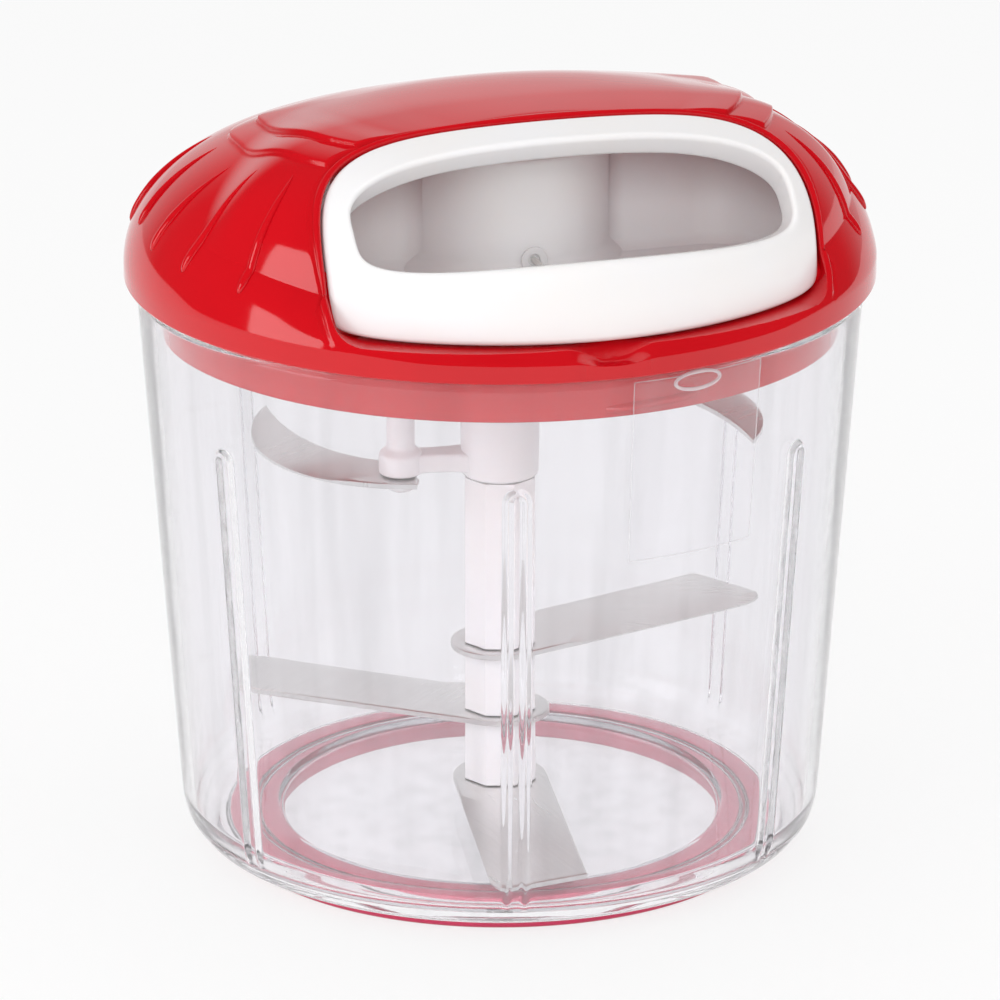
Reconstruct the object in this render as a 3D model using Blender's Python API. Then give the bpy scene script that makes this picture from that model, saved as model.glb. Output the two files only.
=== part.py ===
# Pull-handle food chopper: clear bowl, red lid with a white pull handle, cord drive and blade spindle.
# Frame: origin at the centre of the base, +Z up, the pull handle faces -Y. All sizes in metres.

import math

import bmesh
import bpy
from mathutils import Vector

# Clearances
SEAT_GAP = 0.0003
RUN_GAP = 0.0004

# How far a cutting tool reaches past the piece that it cuts
PAST = 0.0010
SHAVE = 0.0002
TINY_EDGE = 0.00008

# Bowl
BOWL_RIM_R = 0.0780
BOWL_BEND_R = 0.0694
BOWL_HEIGHT = 0.1273
BOWL_BEND_Z = 0.0110
BOWL_WALL = 0.0020
BOWL_LIP_DROP = 0.0030
FLOOR_THICKNESS = 0.0020
FLOOR_STEP = 0.0008
BOSS_R = 0.0050
BOSS_HEIGHT = 0.0026
RIB_WIDTH = 0.0021
RIB_PITCH = 0.0044
RIB_STAND = 0.0009
RIB_BOTTOM_Z = 0.0083
RIB_STOP = 0.0230
RIB_TOP_Z = BOWL_HEIGHT - RIB_STOP
RIB_ANGLES = (-14.8, 37.2, -66.8, 117.2, -146.8, 165.2)

# Non-slip ring under the bowl
RING_INSET = 0.0097
RING_OUTER_R = BOWL_BEND_R - RING_INSET
RING_WIDTH = 0.0112
RING_INNER_R = RING_OUTER_R - RING_WIDTH
RING_HEIGHT = 0.0045
RING_KEY_SHARE = 0.473
RING_KEY_R = RING_INNER_R + (RING_OUTER_R - RING_INNER_R) * RING_KEY_SHARE
RING_KEY_WIDTH = 0.0012
RING_KEY_DEPTH = 0.0018

# Pivot pin and blade spindle
PIN_R = 0.0020
PIN_TOP_Z = 0.0400
PIN_TOP_GAP = 0.0010
CORE_HEX_R = 0.0047
CORE_HEAD_R = 0.0064
CORE_HEAD_HEIGHT = 0.0014
COLUMN_ACROSS_FLATS = 0.0152
COLUMN_TURN = 5.0
BLADE_THICKNESS = 0.0012
BLADE_WIDTH = 0.0206
BLADE_CLEARANCE = 0.0024
BLADE_REACH = BOWL_BEND_R - BOWL_WALL - BLADE_CLEARANCE
BLADE_TAIL = 0.0110
MIDDLE_BLADE_Z = 0.0267
HIGH_BLADE_Z = 0.0419
LOW_BLADE_ANGLE = -9.5
HIGH_BLADE_ANGLE = 105.5
MIDDLE_BLADE_ANGLE = -128.5

# Carrier of the two curved blades
HUB_R = 0.0084
HUB_BOTTOM_Z = 0.0810
HUB_DROP = 0.0111
HUB_TOP_Z = BOWL_HEIGHT - HUB_DROP
CARRIER_DISC_R = 0.0285
CARRIER_DISC_THICKNESS = 0.0025
CARRIER_POST_R = 0.0030
CARRIER_COLLAR_R = 0.0048
CARRIER_ARM_WIDTH = 0.0060
CARRIER_ARM_HEIGHT = 0.0045
CURVED_BLADE_WIDTH = 0.0145
CURVED_BLADE_SWEEP = 46.0
CURVED_BLADE_ROOT = 0.0035
CURVED_BLADE_EXTRA = 0.0020
LEFT_BLADE_DROP = 0.0005
LEFT_BLADE_Z = HUB_BOTTOM_Z - LEFT_BLADE_DROP
RIGHT_BLADE_DROP = 0.0142
RIGHT_BLADE_Z = HUB_TOP_Z - RIGHT_BLADE_DROP
POST_REACH = 0.0217
LEFT_POST_ANGLE = -99.5
RIGHT_POST_ANGLE = 80.5
RIVET_R = 0.0018
RIVET_HEAD_R = 0.0040
RIVET_HEAD_HEIGHT = 0.0022
RIVET_SHANK = 0.0040

# Lid base
SKIRT_CLEARANCE = 0.0024
SKIRT_OUTER_R = BOWL_RIM_R - BOWL_WALL - SKIRT_CLEARANCE
SKIRT_WALL = 0.0020
SKIRT_DROP = 0.0096
SKIRT_BOTTOM_Z = BOWL_HEIGHT - SKIRT_DROP
DECK_DROP = 0.0048
DECK_BOTTOM_Z = BOWL_HEIGHT - DECK_DROP
DECK_THICKNESS = 0.0018
FLANGE_OVERHANG = 0.0005
FLANGE_OUTER_R = BOWL_RIM_R + FLANGE_OVERHANG
FLANGE_THICKNESS = 0.0024
LUG_STAND = 0.0011
LUG_LENGTH_DEG = 16.0
LUG_ANGLES = (7.5, 127.5, 247.5)
SCREW_FRONT_X = SKIRT_OUTER_R * 0.489
SCREW_FRONT_Y = SKIRT_OUTER_R * -0.462
SCREW_SIDE_X = SKIRT_OUTER_R * 0.734
SCREW_SIDE_Y = SKIRT_OUTER_R * -0.190
SCREW_PLACES = (
    ("screw_front_right", SCREW_FRONT_X, SCREW_FRONT_Y),
    ("screw_front_left", -SCREW_FRONT_X, SCREW_FRONT_Y),
    ("screw_side_right", SCREW_SIDE_X, SCREW_SIDE_Y),
    ("screw_side_left", -SCREW_SIDE_X, SCREW_SIDE_Y),
)
SCREW_R = 0.0012
SCREW_HEAD_R = 0.0027
SCREW_HEAD_HEIGHT = 0.0016
SCREW_BOSS_R = 0.0036
SCREW_COVERED = 0.0010

# Dome cover: a vault that is long from side to side, on a round rim, and full in front
DOME_OVERHANG = 0.0020
DOME_R = FLANGE_OUTER_R + DOME_OVERHANG
EQUATOR_RISE = 0.0037
DOME_EQUATOR_Z = BOWL_HEIGHT + EQUATOR_RISE
DOME_HEIGHT = 0.03715
DOME_POWER = 1.85
DOME_FALL_FRONT = 0.98
DOME_RISE_SIDE = 0.52
DOME_BLEND = 0.0030
DOME_FRONT_SINK = 0.0004
DOME_FADE_WIDTH = 0.0600
DOME_FADE_BACK_Y = 0.0250
DOME_FADE_FRONT_Y = -0.0150
DOME_FADE_BACK_BEND = 0.0300
DOME_FADE_FRONT_BEND = 0.0100
DOME_WALL = 0.0022
RIM_RISE = 0.0006
DOME_RIM_Z = BOWL_HEIGHT + RIM_RISE
LEDGE_RISE = 0.0067
LEDGE_TOP_Z = BOWL_HEIGHT + LEDGE_RISE
LEDGE_WIDTH = 0.0083
LEDGE_INNER_R = DOME_R - LEDGE_WIDTH
LEDGE_LEAST = 0.0006
NOTCH_WIDTH = 0.0200
NOTCH_DEPTH = 0.0022

# Pull handle
HANDLE_INSET = 0.0048
HANDLE_R = DOME_R - HANDLE_INSET
HANDLE_HEIGHT = 0.0398
HANDLE_POWER = 3.2
HANDLE_HALF_WIDTH = 0.0532
HANDLE_TOP_ANGLE = 69.5
HANDLE_SHOULDER_ANGLE = 20.0
HANDLE_AXIS_Y = -0.0180
HANDLE_BAR_HEIGHT = 0.0172
HANDLE_BAR_TOP_Z = LEDGE_TOP_Z + HANDLE_BAR_HEIGHT
HANDLE_BAR_DEPTH = 0.0090
HANDLE_ARCH_DEPTH = 0.0055
WINDOW_HALF_WIDTH = 0.0473
WINDOW_TOP_ANGLE = 54.0
WINDOW_SHOULDER_ANGLE = 34.0
HANDLE_GAP = 0.0005
OUTLINE_SCALE = 0.040
FAN_START = 0.0040
FAN_OFFSETS = (-0.0040, -0.0010, 0.0020, 0.0050, 0.0090)
FAN_END = 0.1000

# Mechanism housing
HOUSING_R = 0.0235
HOUSING_WALL = 0.0015
HOUSING_RISE = 0.0319
HOUSING_TOP_Z = BOWL_HEIGHT + HOUSING_RISE
POCKET_RISE = 0.0053
POCKET_FLOOR_Z = BOWL_HEIGHT + POCKET_RISE
POCKET_WALL_Y = -0.0080
AXLE_BOSS_R = 0.0060
AXLE_BOSS_DEPTH = 0.0045
FLANK_TOP_GAP = 0.0010
FLANK_TURN_X = 0.0400
FLANK_TURN_R = 0.0160

# Cord drive
AXLE_R = 0.0030
AXLE_RISE = 0.0017
AXLE_BOTTOM_Z = BOWL_HEIGHT + AXLE_RISE
COUPLING_R = 0.0080
COUPLING_DROP = 0.0083
COUPLING_BOTTOM_Z = BOWL_HEIGHT - COUPLING_DROP
SOCKET_DROP = 0.0003
SOCKET_TOP_Z = BOWL_HEIGHT - SOCKET_DROP
COLLAR_WALL = 0.0022
COLLAR_RISE = 0.0023
COLLAR_TOP_Z = BOWL_HEIGHT + COLLAR_RISE
RATCHET_R = 0.0140
RATCHET_TOOTH = 0.0015
RATCHET_TEETH = 12
RATCHET_THICKNESS = 0.0018
DRUM_CLEARANCE = 0.0008
DRUM_FLANGE_R = HOUSING_R - HOUSING_WALL - DRUM_CLEARANCE
DRUM_GROOVE_DEPTH = 0.0056
DRUM_CORE_R = DRUM_FLANGE_R - DRUM_GROOVE_DEPTH
DRUM_FLANGE = 0.0010
DRUM_HUB_R = 0.0058
CORD_R = 0.00065
CORD_TURNS = 3
CORD_PITCH = 0.0018
SPRING_CUP_DEPTH = 0.0090
SPRING_CUP_WALL = 0.0010
SPRING_STRIP = 0.0005
SPRING_TURNS = 5
SPRING_COVER = 0.0010
EYELET_R = 0.0024
EYELET_BORE_R = 0.0012
ANCHOR_R = 0.0023
ANCHOR_LENGTH = 0.0052
ANCHOR_STAND = 0.0010

# Facets
ROUND_BIG = 48
ROUND_MEDIUM = 32
ROUND_SMALL = 14
ROUND_TINY = 10
HANDLE_STEPS = 56
CORD_STEPS = 22
SPRING_STEPS = 11

# Heights that follow from the sizes above
FLOOR_UNDER_Z = RING_HEIGHT + SEAT_GAP
FLOOR_TOP_Z = FLOOR_UNDER_Z + FLOOR_THICKNESS
DISC_TOP_Z = FLOOR_TOP_Z - FLOOR_STEP
DISC_UNDER_Z = FLOOR_UNDER_Z - FLOOR_STEP
BOSS_TOP_Z = DISC_TOP_Z + BOSS_HEIGHT
CORE_BOTTOM_Z = BOSS_TOP_Z + SEAT_GAP
LOW_BLADE_Z = CORE_BOTTOM_Z + CORE_HEAD_HEIGHT + SEAT_GAP
CORE_TOP_Z = SOCKET_TOP_Z - 0.0005
FLANGE_BOTTOM_Z = BOWL_HEIGHT + SEAT_GAP
FLANGE_TOP_Z = FLANGE_BOTTOM_Z + FLANGE_THICKNESS
LEDGE_BOTTOM_Z = FLANGE_TOP_Z + SEAT_GAP
DECK_TOP_Z = DECK_BOTTOM_Z + DECK_THICKNESS
RATCHET_BOTTOM_Z = COLLAR_TOP_Z + RUN_GAP
RATCHET_TOP_Z = RATCHET_BOTTOM_Z + RATCHET_THICKNESS
DRUM_BOTTOM_Z = RATCHET_TOP_Z + RUN_GAP
GROOVE_BOTTOM_Z = DRUM_BOTTOM_Z + DRUM_FLANGE
GROOVE_HEIGHT = CORD_TURNS * CORD_PITCH + 2 * CORD_R + 0.0010
GROOVE_TOP_Z = GROOVE_BOTTOM_Z + GROOVE_HEIGHT
CUP_BOTTOM_Z = GROOVE_TOP_Z + DRUM_FLANGE
CUP_TOP_Z = CUP_BOTTOM_Z + SPRING_CUP_DEPTH
COVER_BOTTOM_Z = CUP_TOP_Z + SEAT_GAP
CORD_Z = GROOVE_BOTTOM_Z + GROOVE_HEIGHT / 2
ROOF_UNDER_Z = HOUSING_TOP_Z - HOUSING_WALL
AXLE_TOP_Z = ROOF_UNDER_Z - SEAT_GAP
HANDLE_BOTTOM_Z = LEDGE_TOP_Z + RUN_GAP
BAR_BACK_Y = -HANDLE_R + HANDLE_BAR_DEPTH


def clear_scene():
    for item in list(bpy.data.objects):
        bpy.data.objects.remove(item, do_unlink=True)


def make_material(name, colour, roughness, metallic=0.0, alpha=1.0):
    material = bpy.data.materials.new(name)
    material.use_nodes = True
    shader = material.node_tree.nodes["Principled BSDF"]
    shader.inputs["Base Color"].default_value = (*colour, 1.0)
    shader.inputs["Roughness"].default_value = roughness
    shader.inputs["Metallic"].default_value = metallic
    shader.inputs["Alpha"].default_value = alpha
    return material


def clear_plastic(name):
    return make_material(name, (0.86, 0.87, 0.90), 0.06, alpha=0.3)


def red_plastic(name):
    return make_material(name, (0.62, 0.01, 0.02), 0.12)


def white_plastic(name):
    return make_material(name, (0.88, 0.87, 0.88), 0.25)


def grey_plastic(name):
    return make_material(name, (0.35, 0.36, 0.38), 0.4)


def blade_steel(name):
    return make_material(name, (0.62, 0.61, 0.60), 0.28, metallic=1.0)


def red_rubber(name):
    return make_material(name, (0.40, 0.02, 0.06), 0.6)


def cord_fibre(name):
    return make_material(name, (0.85, 0.85, 0.83), 0.8)


def put_object(name, bm, finish, smooth_angle=40.0):
    """Turn a bmesh into a named object with outward faces and its own material."""
    bmesh.ops.remove_doubles(bm, verts=bm.verts, dist=0.000001)
    bmesh.ops.recalc_face_normals(bm, faces=bm.faces)
    mesh = bpy.data.meshes.new(name)
    bm.to_mesh(mesh)
    bm.free()
    mesh.shade_smooth()
    mesh.set_sharp_from_angle(angle=math.radians(smooth_angle))
    item = bpy.data.objects.new(name, mesh)
    bpy.context.collection.objects.link(item)
    if finish is not None:
        mesh.materials.append(finish(name + "_finish"))
    return item


def add_boolean(item, tool, operation):
    """Cut or join a helper solid, which stays in the file as a wire guide."""
    tool.hide_render = True
    tool.display_type = "WIRE"
    modifier = item.modifiers.new(operation.lower() + "_" + tool.name, "BOOLEAN")
    modifier.operation = operation
    modifier.object = tool
    modifier.solver = "EXACT"


def turned(profile, segments, z_axis_x=0.0, z_axis_y=0.0):
    """Spin a closed profile of (radius, height) points about a vertical axis."""
    bm = bmesh.new()
    verts = [bm.verts.new((radius, 0.0, height)) for radius, height in profile]
    edges = [bm.edges.new((verts[i], verts[(i + 1) % len(verts)])) for i in range(len(verts))]
    on_axis = [edge for edge in edges if all(abs(vert.co.x) < 1e-9 for vert in edge.verts)]
    bmesh.ops.delete(bm, geom=on_axis, context="EDGES_FACES")
    bmesh.ops.spin(
        bm,
        geom=list(bm.verts) + list(bm.edges),
        cent=(0, 0, 0),
        axis=(0, 0, 1),
        angle=math.tau,
        steps=segments,
        use_merge=True,
    )
    bmesh.ops.remove_doubles(bm, verts=bm.verts, dist=0.000001)
    bmesh.ops.translate(bm, verts=bm.verts, vec=(z_axis_x, z_axis_y, 0))
    return bm


def rod(radius, bottom, top, segments=ROUND_SMALL, x=0.0, y=0.0):
    return turned([(0, bottom), (radius, bottom), (radius, top), (0, top)], segments, x, y)


def plate(outline, bottom, top):
    """Extrude a flat outline of (x, y) points upwards."""
    bm = bmesh.new()
    face = bm.faces.new([bm.verts.new((x, y, bottom)) for x, y in outline])
    side = bmesh.ops.extrude_face_region(bm, geom=[face])
    raised = [part for part in side["geom"] if isinstance(part, bmesh.types.BMVert)]
    bmesh.ops.translate(bm, verts=raised, vec=(0, 0, top - bottom))
    return bm


def polygon(sides, radius, turn_deg=0.0, x=0.0, y=0.0):
    points = []
    for index in range(sides):
        angle = math.tau * index / sides + math.radians(turn_deg)
        points.append((x + radius * math.cos(angle), y + radius * math.sin(angle)))
    return points


def skin(rings, loop=False, cap=False):
    """Join rings of points with quads; loop joins the last ring to the first."""
    bm = bmesh.new()
    rows = [[bm.verts.new(point) for point in ring] for ring in rings]
    count = len(rows[0])
    last = len(rows) if loop else len(rows) - 1
    for row in range(last):
        low = rows[row]
        high = rows[(row + 1) % len(rows)]
        for index in range(count):
            after = (index + 1) % count
            bm.faces.new((low[index], low[after], high[after], high[index]))
    if cap:
        bm.faces.new(rows[0])
        bm.faces.new(rows[-1])
    return bm


def join_into(target, source):
    """Add the geometry of one bmesh to another and free it."""
    mesh = bpy.data.meshes.new("joined")
    source.to_mesh(mesh)
    source.free()
    target.from_mesh(mesh)
    bpy.data.meshes.remove(mesh)


def heading(angle_deg):
    """Plan direction of an azimuth measured from the handle side (-Y) towards +X."""
    angle = math.radians(angle_deg)
    return Vector((math.sin(angle), -math.cos(angle)))


def heading_point(angle_deg, distance, sideways=0.0):
    along = heading(angle_deg)
    across = Vector((-along.y, along.x))
    return along * distance + across * sideways


def blend(low, high, share):
    return low + (high - low) * share


def smooth_share(value, start, end):
    share = min(1.0, max(0.0, (value - start) / (end - start)))
    return share * share * (3.0 - 2.0 * share)


# Bowl


def bowl_outer_radius(height):
    slope = (BOWL_RIM_R - BOWL_BEND_R) / (BOWL_HEIGHT - BOWL_BEND_Z)
    return BOWL_BEND_R + slope * (height - BOWL_BEND_Z)


def bowl_profile():
    lip_in = RING_OUTER_R + SEAT_GAP
    key_in = RING_KEY_R - RING_KEY_WIDTH / 2
    key_out = RING_KEY_R + RING_KEY_WIDTH / 2
    key_z = FLOOR_UNDER_Z - RING_KEY_DEPTH
    lip_z = FLOOR_UNDER_Z - BOWL_LIP_DROP
    disc_r = RING_INNER_R - SEAT_GAP
    bend = BOWL_BEND_R
    wall = BOWL_WALL
    pin_hole = PIN_R + SEAT_GAP
    hole_z = DISC_UNDER_Z + 0.0008
    outside = [
        (0, DISC_UNDER_Z),
        (disc_r, DISC_UNDER_Z),
        (disc_r, FLOOR_UNDER_Z),
        (key_in, FLOOR_UNDER_Z),
        (key_in, key_z),
        (key_out, key_z),
        (key_out, FLOOR_UNDER_Z),
        (lip_in, FLOOR_UNDER_Z),
        (lip_in, lip_z + 0.0004),
        (lip_in + 0.0012, lip_z),
        (blend(lip_in, bend, 0.45), lip_z + 0.0008),
        (bend - 0.0024, BOWL_BEND_Z - 0.0062),
        (bend - 0.0006, BOWL_BEND_Z - 0.0030),
        (bend, BOWL_BEND_Z),
        (BOWL_RIM_R - 0.0001, BOWL_HEIGHT - 0.0005),
    ]
    inside = [
        (BOWL_RIM_R - 0.0006, BOWL_HEIGHT),
        (BOWL_RIM_R - wall + 0.0004, BOWL_HEIGHT),
        (BOWL_RIM_R - wall, BOWL_HEIGHT - 0.0005),
        (bend - wall, BOWL_BEND_Z + 0.0006),
        (bend - wall - 0.0012, FLOOR_TOP_Z + 0.0016),
        (bend - wall - 0.0036, FLOOR_TOP_Z),
        (RING_INNER_R + 0.0003, FLOOR_TOP_Z),
        (RING_INNER_R - 0.0004, DISC_TOP_Z),
        (BOSS_R + 0.0012, DISC_TOP_Z),
        (BOSS_R, DISC_TOP_Z + 0.0012),
        (BOSS_R, BOSS_TOP_Z),
        (pin_hole, BOSS_TOP_Z),
        (pin_hole, hole_z),
        (0, hole_z),
    ]
    return outside + inside


def rib_solid(angle_deg, sideways):
    """One half-round ridge that follows the slope of the bowl wall."""
    inset = 0.0006
    half = RIB_WIDTH / 2
    levels = (
        (RIB_BOTTOM_Z, 0.25),
        (RIB_BOTTOM_Z + 0.0016, 1.0),
        (RIB_TOP_Z - 0.0016, 1.0),
        (RIB_TOP_Z, 0.25),
    )
    section = ((-1.0, -1.0), (-1.0, 0.15), (-0.55, 0.85), (0.0, 1.0), (0.55, 0.85), (1.0, 0.15), (1.0, -1.0))
    rings = []
    for height, share in levels:
        wall = bowl_outer_radius(max(height, BOWL_BEND_Z - 0.001))
        ring = []
        for across, out in section:
            depth = -inset if out < 0 else out * RIB_STAND * share
            place = heading_point(angle_deg, wall + depth, sideways + across * half * (0.5 + 0.5 * share))
            ring.append((place.x, place.y, height))
        rings.append(ring)
    return skin(rings, cap=True)


def make_bowl():
    bowl = put_object("bowl_shell", turned(bowl_profile(), ROUND_BIG), clear_plastic)
    ribs = bmesh.new()
    for angle in RIB_ANGLES:
        for side in (-0.5, 0.5):
            join_into(ribs, rib_solid(angle, side * RIB_PITCH))
    add_boolean(bowl, put_object("bowl_ribs_guide", ribs, None), "UNION")

    key_in = RING_KEY_R - RING_KEY_WIDTH / 2 - SEAT_GAP
    key_out = RING_KEY_R + RING_KEY_WIDTH / 2 + SEAT_GAP
    key_z = FLOOR_UNDER_Z - RING_KEY_DEPTH - SEAT_GAP
    edge = 0.0006
    ring = [
        (RING_INNER_R, edge),
        (RING_INNER_R + edge, 0),
        (RING_OUTER_R - edge, 0),
        (RING_OUTER_R, edge),
        (RING_OUTER_R, RING_HEIGHT),
        (key_out, RING_HEIGHT),
        (key_out, key_z),
        (key_in, key_z),
        (key_in, RING_HEIGHT),
        (RING_INNER_R, RING_HEIGHT),
    ]
    put_object("base_ring", turned(ring, ROUND_BIG), red_rubber)

    pin_bottom = DISC_UNDER_Z + 0.0008 + SEAT_GAP
    pin = [
        (0, pin_bottom),
        (PIN_R, pin_bottom),
        (PIN_R, PIN_TOP_Z - 0.0012),
        (PIN_R * 0.6, PIN_TOP_Z - 0.0002),
        (0, PIN_TOP_Z),
    ]
    put_object("pivot_pin", turned(pin, ROUND_SMALL), blade_steel)


# Blade unit


def hex_flat(radius):
    return radius * math.cos(math.pi / 6)


def hex_hole(gap=SEAT_GAP):
    return (hex_flat(CORE_HEX_R) + gap) / math.cos(math.pi / 6)


def make_spindle():
    bore = PIN_R + RUN_GAP
    head_top = CORE_BOTTOM_Z + CORE_HEAD_HEIGHT
    shaft = plate(polygon(6, CORE_HEX_R), CORE_BOTTOM_Z + CORE_HEAD_HEIGHT / 3, CORE_TOP_Z)
    core = put_object("spindle_core", shaft, white_plastic)
    head = put_object("spindle_head_guide", rod(CORE_HEAD_R, CORE_BOTTOM_Z, head_top, 24), None)
    add_boolean(core, head, "UNION")
    hole = rod(bore, CORE_BOTTOM_Z - PAST, PIN_TOP_Z + PIN_TOP_GAP)
    hole = put_object("spindle_bore_guide", hole, None)
    add_boolean(core, hole, "DIFFERENCE")

    stack = [
        ("spacer_lower", LOW_BLADE_Z + BLADE_THICKNESS + SEAT_GAP, MIDDLE_BLADE_Z - SEAT_GAP),
        ("spacer_middle", MIDDLE_BLADE_Z + BLADE_THICKNESS + SEAT_GAP, HIGH_BLADE_Z - SEAT_GAP),
        ("spacer_upper", HIGH_BLADE_Z + BLADE_THICKNESS + SEAT_GAP, HUB_BOTTOM_Z - SEAT_GAP),
    ]
    corner = COLUMN_ACROSS_FLATS / 2 / math.cos(math.pi / 8)
    for name, bottom, top in stack:
        sleeve = put_object(name, plate(polygon(8, corner, COLUMN_TURN), bottom, top), white_plastic)
        bore_tool = plate(polygon(6, hex_hole()), bottom - PAST, top + PAST)
        bore_tool = put_object(name + "_bore_guide", bore_tool, None)
        add_boolean(sleeve, bore_tool, "DIFFERENCE")


def straight_blade_outline(angle_deg):
    """Single-wing blade: parallel edges, a slanted tip and a short rounded tail."""
    half = BLADE_WIDTH / 2
    local = [
        (BLADE_REACH - 0.0055, -half),
        (BLADE_REACH - 0.0005, -half * 0.68),
        (BLADE_REACH - 0.0060, half),
        (-BLADE_TAIL * 0.45, half),
        (-BLADE_TAIL * 0.90, half * 0.62),
        (-BLADE_TAIL, 0.0),
        (-BLADE_TAIL * 0.90, -half * 0.62),
        (-BLADE_TAIL * 0.45, -half),
    ]
    return [tuple(heading_point(angle_deg, along, across)) for along, across in local]


def curved_blade_middle(post_angle, share):
    """Point on the middle line of a curved blade, from its root (0) to its tip (1)."""
    root = POST_REACH - CURVED_BLADE_ROOT
    distance = blend(root, BLADE_REACH + CURVED_BLADE_EXTRA, share ** 0.82)
    return heading_point(post_angle - CURVED_BLADE_SWEEP * share ** 1.1, distance)


def curved_blade_outline(post_angle):
    """Scimitar blade: two arcs that start at the post and meet at the tip, swept backwards."""
    steps = 8
    outer = []
    inner = []
    for index in range(steps + 1):
        share = index / steps
        half = CURVED_BLADE_WIDTH / 2 * (1.0 - share ** 3.2)
        centre = curved_blade_middle(post_angle, share)
        ahead = curved_blade_middle(post_angle, min(1.0, share + 0.02))
        back = curved_blade_middle(post_angle, max(0.0, share - 0.02))
        along = (ahead - back).normalized()
        across = Vector((-along.y, along.x))
        if index == steps:
            outer.append(centre)
        else:
            outer.append(centre + across * half)
            inner.append(centre - across * half)
    return [tuple(point) for point in outer + inner[::-1]]


def make_blades():
    straight = [
        ("blade_low", LOW_BLADE_Z, LOW_BLADE_ANGLE),
        ("blade_middle", MIDDLE_BLADE_Z, MIDDLE_BLADE_ANGLE),
        ("blade_high", HIGH_BLADE_Z, HIGH_BLADE_ANGLE),
    ]
    for name, bottom, angle in straight:
        top = bottom + BLADE_THICKNESS
        blade = put_object(name, plate(straight_blade_outline(angle), bottom, top), blade_steel)
        hole = plate(polygon(6, hex_hole()), bottom - PAST, top + PAST)
        hole = put_object(name + "_hole_guide", hole, None)
        add_boolean(blade, hole, "DIFFERENCE")

    curved = [
        ("curved_blade_left", "blade_rivet_left", LEFT_BLADE_Z, LEFT_POST_ANGLE),
        ("curved_blade_right", "blade_rivet_right", RIGHT_BLADE_Z, RIGHT_POST_ANGLE),
    ]
    for name, rivet_name, bottom, angle in curved:
        top = bottom + BLADE_THICKNESS
        place = heading_point(angle, POST_REACH)
        blade = put_object(name, plate(curved_blade_outline(angle), bottom, top), blade_steel)
        hole_r = RIVET_R + SEAT_GAP
        hole = rod(hole_r, bottom - PAST, top + PAST, ROUND_TINY, *place)
        hole = put_object(name + "_hole_guide", hole, None)
        add_boolean(blade, hole, "DIFFERENCE")
        head_top = bottom - SEAT_GAP
        rivet = [
            (0, head_top - RIVET_HEAD_HEIGHT),
            (RIVET_HEAD_R * 0.55, head_top - RIVET_HEAD_HEIGHT),
            (RIVET_HEAD_R, head_top - RIVET_HEAD_HEIGHT * 0.4),
            (RIVET_HEAD_R, head_top),
            (RIVET_R, head_top),
            (RIVET_R, top + RIVET_SHANK),
            (0, top + RIVET_SHANK),
        ]
        put_object(rivet_name, turned(rivet, ROUND_SMALL, *place), white_plastic)


def make_carrier():
    """Hub, top disc, posts, arms and collars that hold the curved blades."""
    disc_bottom = HUB_TOP_Z - CARRIER_DISC_THICKNESS
    hub = [
        (0, HUB_BOTTOM_Z),
        (HUB_R - 0.0004, HUB_BOTTOM_Z),
        (HUB_R, HUB_BOTTOM_Z + 0.0004),
        (HUB_R, disc_bottom),
        (CARRIER_DISC_R - 0.0006, disc_bottom),
        (CARRIER_DISC_R, disc_bottom + 0.0006),
        (CARRIER_DISC_R, HUB_TOP_Z),
        (0, HUB_TOP_Z),
    ]
    carrier = put_object("blade_carrier", turned(hub, ROUND_MEDIUM), white_plastic)
    bore = plate(polygon(6, hex_hole()), HUB_BOTTOM_Z - PAST, HUB_TOP_Z + PAST)
    bore = put_object("blade_carrier_bore_guide", bore, None)
    arms = (
        ("left", LEFT_BLADE_Z, LEFT_POST_ANGLE),
        ("right", RIGHT_BLADE_Z, RIGHT_POST_ANGLE),
    )
    for side, blade_z, angle in arms:
        place = heading_point(angle, POST_REACH)
        collar_z = blade_z + BLADE_THICKNESS + SEAT_GAP
        collar_top = collar_z + CARRIER_ARM_HEIGHT + 0.0010
        post = [
            (0, collar_z),
            (CARRIER_COLLAR_R, collar_z),
            (CARRIER_COLLAR_R, collar_top - 0.0008),
            (CARRIER_POST_R, collar_top),
            (CARRIER_POST_R, disc_bottom + 0.0005),
            (0, disc_bottom + 0.0005),
        ]
        post_tool = put_object("post_guide_" + side, turned(post, ROUND_SMALL, *place), None)
        add_boolean(carrier, post_tool, "UNION")
        half = CARRIER_ARM_WIDTH / 2
        near = HUB_R - 0.0014
        far = POST_REACH + 0.0009
        spots = ((near, -half), (far, -half), (far, half), (near, half))
        arm = [tuple(heading_point(angle, *spot)) for spot in spots]
        arm = plate(arm, collar_z + 0.0003, collar_z + CARRIER_ARM_HEIGHT)
        add_boolean(carrier, put_object("arm_guide_" + side, arm, None), "UNION")
        hole_top = blade_z + BLADE_THICKNESS + RIVET_SHANK + SEAT_GAP
        rivet_hole = rod(RIVET_R + SEAT_GAP, collar_z - PAST, hole_top, ROUND_TINY, *place)
        rivet_hole = put_object("rivet_hole_guide_" + side, rivet_hole, None)
        add_boolean(carrier, rivet_hole, "DIFFERENCE")
    add_boolean(carrier, bore, "DIFFERENCE")


# Lid base


def lug_solid(angle_deg):
    rings = []
    steps = 5
    for index in range(steps):
        share = index / (steps - 1)
        angle = math.radians(angle_deg + (share - 0.5) * LUG_LENGTH_DEG)
        bottom = SKIRT_BOTTOM_Z + 0.0008 + 0.0008 * share
        ring = []
        for radius, height in (
            (SKIRT_OUTER_R - 0.0006, bottom),
            (SKIRT_OUTER_R + LUG_STAND, bottom + 0.0004),
            (SKIRT_OUTER_R + LUG_STAND, bottom + 0.0014),
            (SKIRT_OUTER_R - 0.0006, bottom + 0.0022),
        ):
            ring.append((radius * math.sin(angle), -radius * math.cos(angle), height))
        rings.append(ring)
    return skin(rings, cap=True)


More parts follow.
